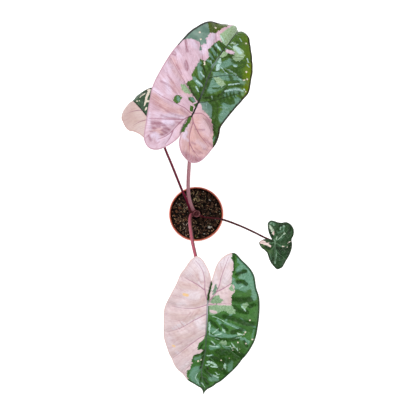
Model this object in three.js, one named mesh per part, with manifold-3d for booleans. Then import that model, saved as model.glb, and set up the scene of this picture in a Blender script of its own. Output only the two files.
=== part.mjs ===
// Potted variegated alocasia: a nursery pot filled with soil, a short stem, and four leaves,
// each a petiole that carries one thin arrow-shaped blade.
// Millimetres, +Z up. The origin is the centre of the pot's flat base.

import * as THREE from 'three';
import { mergeVertices } from 'three/addons/utils/BufferGeometryUtils.js';
import Module from 'manifold-3d';

const wasm = await Module();
wasm.setup();

// Clearance between solids that touch in the real plant.
const seatGap = 0.3;

const pot = {
  height: 108,
  rimRadius: 60,
  rimHeight: 11,
  rimLip: 2.2,
  edge: 0.8,
  collarRadius: 58.6,
  shoulderRadius: 57.6,
  step: 2,
  innerStep: 3,
  baseRadius: 42,
  wall: 1.4,
  floor: 2,
  segments: 48,
  holes: { count: 8, ring: 29, radius: 4.5 },
};

const soil = {
  level: 95,
  segments: 32,
  rings: [53, 45, 37, 29, 21, 13],
  relief: 1.3,
  wallGap: 0.7,
};

// The short stem: a core whose top is an open sheath round the next leaf, still rolled up, and a
// sheath round the foot of each petiole.
const stem = {
  centre: [1.2, 0.6],
  bottom: 82,
  profile: [[6.5, 82], [7.5, 90], [7.8, 104], [7.4, 114], [6.6, 121]],
  cup: [[5.5, 121.3], [4.6, 115], [2, 113.5], [0, 113.5]],
  segments: 18,
  bud: { centre: [2.2, 0.8], radius: 2.5, bottom: 110, top: 128 },
  sheath: { wall: 1.6, top: 0.9, depth: 20, length: 12 },
};

// A petiole runs from its socket in the stem to the junction under its blade.
// The radii are at its foot, halfway and at the blade.
const petioles = {
  north: {
    path: [
      [-5, 6.5, 104], [-7, 10.5, 115], [-10, 18, 128], [-14.5, 35, 152], [-15, 59, 190],
      [-10.5, 102, 262], [-5.5, 140, 332], [-0.7, 175.9, 400],
    ],
    radii: [4, 3.6, 2.7],
    steps: 26,
  },
  south: {
    path: [
      [-7.5, -2.5, 104], [-9.8, -1.2, 118], [-11, -2.5, 134], [-11.8, -8, 162], [-11.2, -17, 200],
      [-7.6, -35, 245], [-3.2, -55.5, 281], [2.6, -76.1, 311], [12.5, -114, 340], [25.6, -158.3, 360],
    ],
    radii: [3.6, 3.4, 2.7],
    steps: 28,
  },
  west: {
    path: [
      [-13, 5.5, 98], [-15, 13, 109], [-21.4, 32.4, 130], [-29.6, 51.4, 150], [-35, 66, 168],
      [-47.6, 101, 215], [-57.6, 128, 259], [-67.1, 159.7, 300],
    ],
    radii: [2.4, 2.2, 1.8],
    steps: 22,
  },
  east: {
    path: [
      [6.4, -2.6, 104], [11, -4.8, 112], [21.3, -7.4, 122], [36.9, -8.7, 137], [57.2, -11.4, 155],
      [91.6, -23.4, 181], [120.9, -36.6, 195.5], [142, -47.2, 200.5], [163.6, -56.5, 205],
    ],
    radii: [1.9, 1.7, 1.5],
    steps: 22,
  },
};

// Each blade is drawn flat and then bent. A flat point is [t, s]: s runs along the midrib from
// the petiole junction (0) to the tip, t across it, positive to the right of someone who faces
// the tip. left and right are the two half outlines, from the notch between the lobes to the tip.
// Angles are in degrees, and bends are in degrees per 100 mm. pitch is the midrib's fall at the
// junction, arch its bend, hook the extra bend past hookFrom, and roll turns the right side down.
// Only a blade with keels has a rib under each lateral vein: a small one has the main ribs alone.
const blades = {
  north: {
    junction: [-0.7, 175.9, 400], heading: 63.3, roll: 14, pitch: 8, arch: 11, lobeArch: 6,
    hookFrom: 173, hook: 125, skew: 0.42, bow: { shift: -8, at: 105, width: 60 },
    valley: [0.14, 0.14], droop: [0.0022, 0.0022], puff: 3.2, keels: true, vertices: 72,
    hub: [0, 8], rings: [0.08, 0.18, 0.32, 0.46, 0.6, 0.73, 0.85, 0.94, 1],
    left: [
      [-0.5, -5], [-2.2, -25], [-4, -42], [-8, -57], [-15, -71], [-27, -84], [-42, -88],
      [-57, -77], [-68, -46], [-78, -14], [-84, 12], [-83, 42], [-78, 75], [-72, 103],
      [-67, 134], [-58, 158], [-46, 176], [-34, 190], [-22, 205], [-10, 224], [0, 240],
    ],
    right: [
      [-0.5, -5], [-1.2, -26], [-1, -44], [3, -58], [11, -68], [22, -74], [36, -76], [48, -68],
      [54, -54], [58, -38], [60, -24], [58, -6], [55, 8], [59, 28], [66, 52], [73, 72],
      [79, 93], [75, 111], [69, 126], [61, 143], [52, 158], [41, 170], [33, 182], [26, 193],
      [16, 202], [9, 216], [5, 228], [0, 240],
    ],
    veins: {
      midrib: [[0, -4], [0, 30], [0, 60], [0, 90], [0, 120], [0, 150], [0, 180], [0, 200], [0, 224]],
      leftBasal: [[0, -2], [-10, -15], [-16, -32], [-20, -46], [-26, -58], [-35, -68]],
      leftBasalOut: [[-10, -15], [-31, -27], [-47, -35], [-64, -43]],
      leftBasalIn: [[-18, -41], [-17, -54], [-19, -70]],
      left1: [[0, 0], [-17, 3], [-36, 2], [-61, 1], [-79, 3]],
      left2: [[0, 25], [-16, 33], [-36, 43], [-58, 56], [-74, 68]],
      left3: [[0, 66], [-14, 86], [-30, 108], [-46, 128]],
      left4: [[0, 112], [-13, 134], [-28, 156], [-38, 174]],
      rightBasal: [[0, -2], [6, -10], [9, -24], [12, -36], [18, -48], [24, -60], [29, -70]],
      rightBasalIn: [[17, -46], [28, -54], [41, -60]],
      rightBasalOut: [[6, -10], [16, -18], [28, -26], [40, -31], [52, -36]],
      right1: [[0, 2], [11, 9], [20, 10], [34, 7], [50, 2]],
      right2: [[0, 24], [12, 32], [28, 46], [46, 64], [64, 84]],
      right3: [[0, 74], [14, 86], [34, 102], [60, 118]],
      right4: [[0, 116], [14, 132], [32, 146], [50, 154]],
      right5: [[0, 158], [12, 172], [25, 184]],
    },
    folds: [
      { from: [10, 48], to: [64, 102], width: 10, rise: 4.5 },
      { from: [18, 34], to: [66, 78], width: 6, rise: -3 },
      { from: [26, 26], to: [66, 66], width: 8, rise: 3 },
      { from: [22, 12], to: [50, -4], width: 7, rise: -4 },
      { from: [58, 128], to: [76, 132], width: 9, rise: 4 },
      { from: [-38, 160], to: [-36, 190], width: 9, rise: -3.5 },
      { from: [-12, 168], to: [-10, 200], width: 9, rise: 4.5 },
    ],
  },
  south: {
    junction: [25.6, -158.3, 360], heading: -92.5, roll: 9, pitch: 12, arch: 11, lobeArch: 6,
    hookFrom: 185, hook: 30, skew: 0, bow: { shift: 5.5, at: 145, width: 28 },
    valley: [0.14, 0.14], droop: [0.0022, 0.0022], puff: 3.2, keels: true, vertices: 72,
    hub: [0, 8], rings: [0.08, 0.18, 0.32, 0.46, 0.6, 0.73, 0.85, 0.94, 1],
    left: [
      [-1, -4], [-5, -29], [-7.5, -45], [-9.5, -58], [-13.5, -73], [-22, -86], [-35, -95],
      [-46, -96], [-58, -85], [-72, -72], [-81, -58], [-86, -37], [-92, -18], [-94, 6],
      [-93, 34], [-90, 60], [-82, 82], [-69, 107], [-58, 129], [-45, 149], [-26, 170],
      [-9, 187], [0, 207],
    ],
    right: [
      [-1, -4], [-3, -29], [-3, -45], [-1, -57], [5, -70], [13, -81], [23, -86], [34, -78],
      [44, -62], [52, -50], [58, -33], [68, -11], [78, 12], [81, 30], [80, 54], [80, 78],
      [74, 98], [64, 120], [49, 142], [32, 165], [19, 179], [8, 186], [3, 194], [0, 207],
    ],
    veins: {
      midrib: [[0, -4], [0, 30], [0, 60], [0, 90], [0, 120], [0, 150], [0, 180], [0, 198]],
      leftBasal: [[0, -2], [-8, -12], [-15, -23], [-20, -36], [-22, -48], [-28, -69], [-34, -88]],
      leftBasalOut: [[-15, -23], [-28, -31], [-44, -44], [-58, -60]],
      left1: [[0, 3], [-16, 0], [-31, -2], [-50, -3], [-78, -1]],
      left2: [[0, 21], [-15, 25], [-34, 31], [-52, 38], [-80, 52]],
      left3: [[0, 66], [-14, 71], [-28, 77], [-44, 88], [-66, 104]],
      left4: [[0, 106], [-16, 116], [-38, 134]],
      left5: [[0, 146], [-12, 156], [-24, 166]],
      rightBasal: [[0, -2], [3, -11], [6, -24], [7, -41], [11, -58], [18, -70], [25, -77]],
      rightBasalOut: [[6, -24], [19, -33], [32, -39], [44, -45]],
      right1: [[0, 3], [14, 9], [27, 13], [42, 14], [66, 14]],
      right2: [[0, 20], [16, 31], [30, 41], [47, 54], [74, 68]],
      right3: [[0, 63], [15, 74], [30, 89], [44, 105], [58, 124]],
      right4: [[0, 104], [12, 120], [28, 142], [36, 156]],
      right5: [[0, 146], [9, 160], [14, 176]],
    },
    folds: [
      { from: [-30, -58], to: [-80, -36], width: 12, rise: 3.5 },
      { from: [-60, 60], to: [-88, 44], width: 10, rise: -3 },
      { from: [44, -30], to: [70, -6], width: 10, rise: 3 },
      { from: [50, 60], to: [80, 60], width: 12, rise: 3 },
    ],
  },
  west: {
    junction: [-67.1, 159.7, 300], heading: 130.7, roll: -6, pitch: 8, arch: 18, lobeArch: 6,
    hookFrom: 70, hook: 200, skew: -0.15, bow: { shift: 2, at: 60, width: 30 },
    valley: [-0.12, 0.02], droop: [0.003, 0.002], puff: 1.6, keels: false, vertices: 48,
    hub: [0, 5], rings: [0.1, 0.26, 0.44, 0.6, 0.74, 0.87, 1],
    left: [
      [0, -3], [-3, -12], [-8, -24], [-16, -29], [-26, -22], [-30, -6], [-31, 8], [-33, 22],
      [-38.5, 35], [-46, 47], [-47.5, 58], [-44, 72], [-38, 86], [-22, 101], [0, 112],
    ],
    right: [
      [0, -3], [3, -12], [8, -24], [17, -29], [28, -22], [35, -6], [41, 12], [47, 32],
      [50, 54], [48, 69], [40, 83], [22, 98], [0, 112],
    ],
    veins: {
      midrib: [[0, -3], [0, 20], [0, 40], [0, 60], [0, 80], [0, 103]],
      leftBasal: [[0, -1], [-8, -10], [-16, -22]],
      left1: [[0, 4], [-14, 10], [-28, 16]],
      left2: [[0, 30], [-15, 40], [-34, 48]],
      left3: [[0, 54], [-12, 66], [-28, 76]],
      rightBasal: [[0, -1], [8, -10], [17, -22]],
      right1: [[0, 4], [16, 12], [34, 20]],
      right2: [[0, 28], [16, 40], [38, 52]],
      right3: [[0, 54], [13, 66], [28, 76]],
    },
    folds: [
      { from: [-30, 22], to: [-40, 36], width: 7, rise: 2.5 },
    ],
  },
  east: {
    junction: [163.6, -56.5, 205], heading: -88, roll: 4, pitch: 14, arch: 25, lobeArch: 10,
    hookFrom: 60, hook: 40, skew: 0, bow: { shift: -5, at: 66, width: 14 },
    valley: [0.16, 0.16], droop: [0.004, 0.004], puff: 1.6, keels: false, vertices: 44,
    hub: [1, 4], rings: [0.15, 0.35, 0.6, 0.82, 1],
    left: [
      [6, -6], [10, -14], [13, -23], [14.5, -33], [14, -41], [9, -46], [2, -45], [-6, -42],
      [-14, -41], [-23, -42], [-32, -37], [-38, -27], [-38, -15], [-34, -5], [-35, 6],
      [-33, 18], [-26, 35], [-15, 53], [-8, 59.5], [-3, 62.5], [0, 63.5],
    ],
    right: [
      [6, -6], [11, -6.5], [18, -7.5], [26, -5.5], [32, -1], [32, 4], [28, 11], [21, 17],
      [16, 24], [13, 34], [10, 43], [6, 53], [3, 60], [0, 63.5],
    ],
    veins: {
      midrib: [[0, -2], [0, 14], [0, 30], [0, 46], [0, 60]],
      leftBasal: [[0, -2], [0, -14], [4, -26], [8, -38]],
      left1: [[0, -1], [-10, -10], [-20, -19], [-30, -28]],
      left2: [[0, 2], [-12, 7], [-20, 8], [-31, 6]],
      left3: [[0, 18], [-10, 28], [-20, 36]],
      rightBasal: [[0, 0], [8, 2], [17, 1], [27, 0]],
      right1: [[0, 6], [6, 15], [12, 24]],
    },
    folds: [
      { from: [-26, 0], to: [-40, -8], width: 5, rise: -3 },
      { from: [8, -30], to: [12, -44], width: 7, rise: 3 },
    ],
  },
};

const bladeThickness = 0.9;
// The share of a fold's rise that is left at its start.
const foldStart = 0.4;
// A vein lies in a groove this wide, and a rib of this radius stands out below it.
const grooveReach = 8;
const ribs = { midrib: [2.3, 0.8], basal: [1.4, 0.6], lateral: [1, 0.5], spacing: 16 };

// Colour, roughness and metalness of each material.
const finishes = {
  potPlastic: { color: 0xd4674a, roughness: 0.55, metalness: 0 },
  soilMix: { color: 0x2b211c, roughness: 0.95, metalness: 0 },
  pinkLeaf: { color: 0xdcbcc2, roughness: 0.45, metalness: 0 },
  greenLeaf: { color: 0x355c31, roughness: 0.35, metalness: 0 },
  pinkStalk: { color: 0xb5808c, roughness: 0.5, metalness: 0 },
  redStalk: { color: 0x6b2437, roughness: 0.5, metalness: 0 },
};

function material(name) {
  return new THREE.MeshStandardMaterial(finishes[name]);
}

const radians = THREE.MathUtils.degToRad;
const perHundred = (degrees) => radians(degrees) / 100;

// Moves along a circular arc from { y, z, slope } by length, where slope is the fall angle.
function alongArc(start, bend, length) {
  const slope = start.slope + bend * length;
  const sine = (Math.sin(slope) - Math.sin(start.slope)) / bend;
  const cosine = (Math.cos(slope) - Math.cos(start.slope)) / bend;
  return { y: start.y + sine, z: start.z + cosine, slope };
}

// The spine of the blade at s, in the upright plane through the midrib. The line along which the
// blade hooks over may run askew, so its place depends on t as well.
function spineAt(blade, t, s) {
  const start = { y: 0, z: 0, slope: radians(blade.pitch) };
  if (s < 0) {
    return alongArc(start, perHundred(blade.lobeArch), s);
  }
  const hookFrom = blade.hookFrom + blade.skew * t;
  const straight = alongArc(start, perHundred(blade.arch), Math.min(s, hookFrom));
  if (s <= hookFrom) {
    return straight;
  }
  return alongArc(straight, perHundred(blade.arch + blade.hook), s - hookFrom);
}

// Distance from a flat point to a segment, and how far along the segment its foot lies (0 to 1).
function segmentDistance(t, s, from, to) {
  const dt = to[0] - from[0];
  const ds = to[1] - from[1];
  const along = ((t - from[0]) * dt + (s - from[1]) * ds) / (dt * dt + ds * ds);
  const clamped = Math.min(1, Math.max(0, along));
  const distance = Math.hypot(t - from[0] - clamped * dt, s - from[1] - clamped * ds);
  return { distance, along: clamped };
}

function veinDistance(blade, t, s) {
  let nearest = Infinity;
  for (const vein of Object.values(blade.veins)) {
    for (let i = 1; i < vein.length; i += 1) {
      nearest = Math.min(nearest, segmentDistance(t, s, vein[i - 1], vein[i]).distance);
    }
  }
  return nearest;
}

// Height of the blade over the plane that holds its midrib: a shallow valley along the midrib,
// sides that droop, skin that puffs up between the veins, and a few larger folds.
function liftAt(blade, t, s) {
  const side = t < 0 ? 0 : 1;
  const softening = 4;
  let lift = blade.valley[side] * (Math.hypot(t, softening) - softening);
  lift -= blade.droop[side] * t * t;
  const inGroove = Math.exp(-((veinDistance(blade, t, s) / grooveReach) ** 2));
  lift += blade.puff * (1 - inGroove);
  for (const fold of blade.folds) {
    const { distance, along } = segmentDistance(t, s, fold.from, fold.to);
    const share = THREE.MathUtils.lerp(foldStart, 1, along);
    lift += fold.rise * share * Math.exp(-((distance / fold.width) ** 2));
  }
  return lift;
}

function surfacePoint(blade, t, s) {
  const { y, z, slope } = spineAt(blade, t, s);
  const lift = liftAt(blade, t, s);
  const roll = radians(blade.roll);
  const { shift, at, width } = blade.bow;
  const across = shift * Math.exp(-(((s - at) / width) ** 2));
  const right = across + t * Math.cos(roll) + lift * Math.sin(roll);
  const rise = lift * Math.cos(roll) - t * Math.sin(roll);
  const forward = y + rise * Math.sin(slope);
  const up = z + rise * Math.cos(slope);
  const heading = radians(blade.heading);
  return new THREE.Vector3(
    blade.junction[0] + right * Math.sin(heading) + forward * Math.cos(heading),
    blade.junction[1] - right * Math.cos(heading) + forward * Math.sin(heading),
    blade.junction[2] + up,
  );
}

function surfaceNormal(blade, t, s) {
  const step = 1.5;
  const acrossStep = surfacePoint(blade, t + step, s).sub(surfacePoint(blade, t - step, s));
  const alongStep = surfacePoint(blade, t, s + step).sub(surfacePoint(blade, t, s - step));
  return acrossStep.cross(alongStep).normalize();
}

// The two half outlines joined into one loop of flat points, notch to tip to notch.
function bladeLoop(blade) {
  const half = blade.vertices / 2;
  const sample = (points) => {
    const curve = new THREE.SplineCurve(points.map(([t, s]) => new THREE.Vector2(t, s)));
    return curve.getSpacedPoints(half);
  };
  const left = sample(blade.left);
  const right = sample(blade.right).reverse();
  return left.slice(0, half).concat(right.slice(0, half));
}

// A star-shaped region as rings round a hub. A small ring skips points of the loop, so that the
// triangles keep an even size.
const skips = [{ under: 0.12, stride: 4 }, { under: 0.3, stride: 2 }];

function ringMesh(loop, hub, fractions) {
  const points = [new THREE.Vector2(...hub)];
  const triangles = [];
  let inner = null;
  for (const fraction of fractions) {
    const skip = skips.find(({ under }) => fraction < under);
    const stride = skip ? skip.stride : 1;
    const ring = { start: points.length, count: loop.length / stride };
    for (let i = 0; i < loop.length; i += stride) {
      points.push(points[0].clone().lerp(loop[i], fraction));
    }
    addRing(triangles, inner, ring);
    inner = ring;
  }
  return { points, triangles, rim: inner };
}

function addRing(triangles, inner, outer) {
  const outerIndex = (i) => outer.start + (i % outer.count);
  if (!inner) {
    for (let i = 0; i < outer.count; i += 1) {
      triangles.push([0, outerIndex(i), outerIndex(i + 1)]);
    }
    return;
  }
  const innerIndex = (i) => inner.start + (i % inner.count);
  const ratio = outer.count / inner.count;
  for (let i = 0; i < inner.count; i += 1) {
    const first = i * ratio;
    for (let k = 0; k < ratio; k += 1) {
      const pivot = k === 0 ? i : i + 1;
      triangles.push([innerIndex(pivot), outerIndex(first + k), outerIndex(first + k + 1)]);
      if (k === 0) {
        triangles.push([innerIndex(i), outerIndex(first + 1), innerIndex(i + 1)]);
      }
    }
  }
}

function indexedGeometry(vertices, triangles) {
  const geometry = new THREE.BufferGeometry();
  const coordinates = vertices.flatMap((v) => [v.x, v.y, v.z]);
  geometry.setAttribute('position', new THREE.Float32BufferAttribute(coordinates, 3));
  geometry.setIndex(triangles.flat());
  return geometry;
}

// A thin closed sheet: the same triangles on both faces, and a strip round the margin.
function bladeSheet(blade, thickness) {
  const { points, triangles, rim } = ringMesh(bladeLoop(blade), blade.hub, blade.rings);
  const above = [];
  const below = [];
  for (const point of points) {
    const centre = surfacePoint(blade, point.x, point.y);
    const offset = surfaceNormal(blade, point.x, point.y).multiplyScalar(thickness / 2);
    above.push(centre.clone().add(offset));
    below.push(centre.clone().sub(offset));
  }
  const shift = points.length;
  const faces = [];
  for (const [a, b, c] of triangles) {
    faces.push([a, c, b], [a + shift, b + shift, c + shift]);
  }
  for (let i = 0; i < rim.count; i += 1) {
    const a = rim.start + i;
    const b = rim.start + ((i + 1) % rim.count);
    faces.push([a, b, b + shift], [a, b + shift, a + shift]);
  }
  return indexedGeometry(above.concat(below), faces);
}

// A closed tube through stations { centre, normal, binormal, radius }, with flat ends.
function sweep(stations, sides) {
  const vertices = [];
  const faces = [];
  for (const { centre, normal, binormal, radius } of stations) {
    for (let k = 0; k < sides; k += 1) {
      const angle = (2 * Math.PI * k) / sides;
      const point = centre.clone();
      point.addScaledVector(normal, radius * Math.cos(angle));
      point.addScaledVector(binormal, radius * Math.sin(angle));
      vertices.push(point);
    }
  }
  const lastRing = (stations.length - 1) * sides;
  for (let start = 0; start < lastRing; start += sides) {
    for (let k = 0; k < sides; k += 1) {
      const a = start + k;
      const b = start + ((k + 1) % sides);
      faces.push([a, b, b + sides], [a, b + sides, a + sides]);
    }
  }
  const first = vertices.push(stations[0].centre) - 1;
  const last = vertices.push(stations[stations.length - 1].centre) - 1;
  for (let k = 0; k < sides; k += 1) {
    const next = (k + 1) % sides;
    faces.push([first, next, k], [last, lastRing + k, lastRing + next]);
  }
  return indexedGeometry(vertices, faces);
}

function smoothCurve(path) {
  return new THREE.CatmullRomCurve3(path, false, 'centripetal');
}

// A round tube along a smooth path, with radiusAt giving its radius from 0 to 1.
function tube(path, radiusAt, sides, steps) {
  const curve = smoothCurve(path);
  const frames = curve.computeFrenetFrames(steps, false);
  const stations = frames.tangents.map((_, i) => ({
    centre: curve.getPointAt(i / steps),
    normal: frames.normals[i],
    binormal: frames.binormals[i],
    radius: radiusAt(i / steps),
  }));
  return sweep(stations, sides);
}

// A geometry as a solid for joining and cutting, and back.
function toSolid(geometry) {
  const bare = geometry.clone();
  bare.deleteAttribute('normal');
  bare.deleteAttribute('uv');
  const merged = mergeVertices(bare, 1e-4);
  const mesh = new wasm.Mesh({
    numProp: 3,
    vertProperties: Float32Array.from(merged.attributes.position.array),
    triVerts: Uint32Array.from(merged.index.array),
  });
  return new wasm.Manifold(mesh);
}

function toGeometry(solid) {
  const mesh = solid.getMesh();
  const geometry = new THREE.BufferGeometry();
  geometry.setAttribute('position', new THREE.BufferAttribute(mesh.vertProperties, 3));
  geometry.setIndex(new THREE.BufferAttribute(mesh.triVerts, 1));
  return geometry;
}

function largestBody(solid) {
  const bodies = solid.decompose();
  return bodies.reduce((best, body) => (body.volume() > best.volume() ? body : best));
}

function ribRadii(name) {
  if (name === 'midrib') {
    return ribs.midrib;
  }
  return name.includes('Basal') ? ribs.basal : ribs.lateral;
}

// A rib is a keel under its vein: three-sided, one edge down, its flat top inside the blade.
function ribTube(blade, name, growth) {
  const vein = blade.veins[name];
  const [thick, thin] = ribRadii(name);
  const flat = new THREE.SplineCurve(vein.map(([t, s]) => new THREE.Vector2(t, s)));
  const steps = Math.max(3, Math.round(flat.getLength() / ribs.spacing));
  const stations = flat.getSpacedPoints(steps).map(({ x, y }, i) => {
    const radius = THREE.MathUtils.lerp(thick, thin, i / steps);
    const down = surfaceNormal(blade, x, y).negate();
    const centre = surfacePoint(blade, x, y).addScaledVector(down, radius / 2);
    return { centre, normal: down, radius: radius + 2 * growth };
  });
  stations.forEach((station, i) => {
    const before = stations[Math.max(0, i - 1)].centre;
    const after = stations[Math.min(steps, i + 1)].centre;
    const tangent = after.clone().sub(before).normalize();
    station.binormal = tangent.clone().cross(station.normal).normalize();
  });
  return sweep(stations, 3);
}

// growth thickens the blade all over, for cutting its seat in the petiole.
function bladeSolid(blade, growth) {
  let solid = toSolid(bladeSheet(blade, bladeThickness + 2 * growth));
  const isLateral = (name) => /^(left|right)\d/.test(name);
  for (const name of Object.keys(blade.veins)) {
    if (blade.keels || !isLateral(name)) {
      solid = solid.add(toSolid(ribTube(blade, name, growth)));
    }
  }
  return largestBody(solid);
}

function petiolePath(name) {
  return petioles[name].path.map((point) => new THREE.Vector3(...point));
}

function petioleCurve(name) {
  return smoothCurve(petiolePath(name));
}

function petioleSolid(name, growth) {
  const { radii, steps } = petioles[name];
  const [foot, middle, top] = radii;
  const radiusAt = (u) => {
    const radius = u < 0.5
      ? THREE.MathUtils.lerp(foot, middle, u * 2)
      : THREE.MathUtils.lerp(middle, top, u * 2 - 1);
    return radius + growth;
  };
  return toSolid(tube(petiolePath(name), radiusAt, 8, steps));
}

function lathe(profile, segments) {
  const points = profile.map(([radius, height]) => new THREE.Vector2(radius, height));
  return new THREE.LatheGeometry(points, segments).rotateX(Math.PI / 2);
}

function potGeometry() {
  const rimBottom = pot.height - pot.rimHeight;
  const innerBase = pot.baseRadius - pot.wall;
  const innerRim = pot.rimRadius - pot.rimLip;
  const { edge } = pot;
  const shell = toSolid(lathe([
    [0, 0], [pot.baseRadius - edge, 0], [pot.baseRadius, edge],
    [pot.shoulderRadius, rimBottom - pot.step], [pot.collarRadius, rimBottom],
    [pot.rimRadius - edge, rimBottom + edge], [pot.rimRadius, pot.height - edge],
    [pot.rimRadius - edge, pot.height], [innerRim, pot.height],
    [innerRim - edge / 2, pot.height - edge],
    [pot.shoulderRadius - pot.wall, rimBottom - pot.innerStep],
    [innerBase, pot.floor + edge], [innerBase - edge, pot.floor], [0, pot.floor],
  ], pot.segments));
  let drilled = shell;
  for (let i = 0; i < pot.holes.count; i += 1) {
    const angle = (2 * Math.PI * i) / pot.holes.count;
    const { ring, radius } = pot.holes;
    const drill = new THREE.CylinderGeometry(radius, radius, 3 * pot.floor, 12);
    drill.rotateX(Math.PI / 2);
    drill.translate(ring * Math.cos(angle), ring * Math.sin(angle), pot.floor / 2);
    drilled = drilled.subtract(toSolid(drill));
  }
  return toGeometry(drilled);
}

// Gentle mounds and dips of the soil's top, as a height in millimetres.
function soilRelief(x, y) {
  const broad = Math.sin(x * 0.16 + 0.7) * Math.cos(y * 0.14 - 0.4);
  const fine = Math.sin(x * 0.43 - y * 0.21) * Math.sin(y * 0.37 + x * 0.12 + 1.9);
  return soil.relief * (0.6 * broad + 0.5 * fine);
}

function stemCore(growth) {
  const [x, y] = stem.centre;
  const side = stem.profile.map(([radius, height]) => [radius + growth, height]);
  const foot = stem.bottom - growth;
  return lathe([[0, foot], [side[0][0], foot], ...side, ...stem.cup], stem.segments)
    .translate(x, y, 0);
}

// The next leaf, still rolled up, stands in the open sheath on the core.
function budSpike() {
  const { centre, radius, bottom, top } = stem.bud;
  const height = top - bottom;
  return lathe([
    [0, bottom], [radius, bottom], [radius, bottom + height * 0.55],
    [radius * 0.72, bottom + height * 0.8], [radius * 0.25, bottom + height * 0.97], [0, top],
  ], 10).translate(centre[0], centre[1], 0);
}

// The sheath that wraps the foot of one petiole, from inside the soil to where the petiole frees.
function footSheath(name, growth) {
  const curve = petioleCurve(name);
  const alongPetiole = (length) => curve.getPointAt(length / curve.getLength());
  const { depth, length, wall, top } = stem.sheath;
  const foot = alongPetiole(0);
  const root = foot.clone().setZ(foot.z - depth);
  const radiusAt = (u) => petioles[name].radii[0] + THREE.MathUtils.lerp(wall, top, u) + growth;
  return tube([root, foot, alongPetiole(length / 2), alongPetiole(length)], radiusAt, 8, 5);
}

function stemBody(growth) {
  let solid = toSolid(stemCore(growth));
  for (const name of Object.keys(petioles)) {
    solid = solid.add(toSolid(footSheath(name, growth)));
  }
  return solid;
}

function stemSolid() {
  let solid = stemBody(0).add(toSolid(budSpike()));
  for (const name of Object.keys(petioles)) {
    solid = solid.subtract(petioleSolid(name, seatGap));
  }
  return largestBody(solid);
}

function soilGeometry() {
  const wallRadius = (height) => {
    const share = height / (pot.height - pot.rimHeight - pot.innerStep);
    const outside = THREE.MathUtils.lerp(pot.baseRadius, pot.shoulderRadius, share);
    return outside - pot.wall - soil.wallGap;
  };
  const bottom = pot.floor + seatGap;
  const fill = lathe([
    [0, bottom], [wallRadius(0) - 1, bottom], [wallRadius(4), 4],
    [wallRadius(soil.level - 4), soil.level - 4],
    ...soil.rings.map((radius) => [radius, soil.level]), [0, soil.level],
  ], soil.segments);
  const position = fill.attributes.position;
  for (let i = 0; i < position.count; i += 1) {
    if (position.getZ(i) > soil.level - 1) {
      const relief = soilRelief(position.getX(i), position.getY(i));
      position.setZ(i, soil.level + relief);
    }
  }
  return toGeometry(largestBody(toSolid(fill).subtract(stemBody(seatGap))));
}

const plant = new THREE.Group();

function addMesh(name, geometry, finish) {
  const mesh = new THREE.Mesh(geometry, material(finish));
  mesh.name = name;
  plant.add(mesh);
}

addMesh('pot', potGeometry(), 'potPlastic');
addMesh('soil', soilGeometry(), 'soilMix');
addMesh('stem', toGeometry(stemSolid()), 'redStalk');

const bladeFinish = { north: 'pinkLeaf', south: 'pinkLeaf', west: 'pinkLeaf', east: 'greenLeaf' };
const petioleFinish = { north: 'pinkStalk', south: 'pinkStalk', west: 'redStalk', east: 'redStalk' };

for (const name of Object.keys(petioles)) {
  const seated = petioleSolid(name, 0).subtract(bladeSolid(blades[name], seatGap));
  addMesh(`petiole_${name}`, toGeometry(largestBody(seated)), petioleFinish[name]);
  addMesh(`blade_${name}`, toGeometry(bladeSolid(blades[name], 0)), bladeFinish[name]);
}

export default plant;
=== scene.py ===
"""The look of a potted variegated alocasia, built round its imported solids.

Shapes are worked out in millimetres and written to meshes in metres. +Z is up, and the origin is
the centre of the pot's flat base.
"""

import math

import bmesh
import bpy
import numpy as np
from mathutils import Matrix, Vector, geometry, noise


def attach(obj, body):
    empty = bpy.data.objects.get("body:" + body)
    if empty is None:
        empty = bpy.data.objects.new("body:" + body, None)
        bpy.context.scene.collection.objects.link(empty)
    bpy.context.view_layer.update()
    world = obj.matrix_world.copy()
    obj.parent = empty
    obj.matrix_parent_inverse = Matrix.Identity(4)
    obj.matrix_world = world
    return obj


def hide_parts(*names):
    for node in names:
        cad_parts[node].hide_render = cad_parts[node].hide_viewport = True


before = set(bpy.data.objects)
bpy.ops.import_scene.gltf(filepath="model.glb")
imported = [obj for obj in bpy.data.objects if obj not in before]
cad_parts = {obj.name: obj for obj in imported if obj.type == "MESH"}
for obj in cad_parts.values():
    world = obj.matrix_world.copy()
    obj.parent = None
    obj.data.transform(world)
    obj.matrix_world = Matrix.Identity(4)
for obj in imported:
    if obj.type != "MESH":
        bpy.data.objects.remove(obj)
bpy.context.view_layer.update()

MM = 0.001
TURN = 2 * math.pi
# Farther than anything on the plant, in mm.
FAR = 1e9

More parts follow.
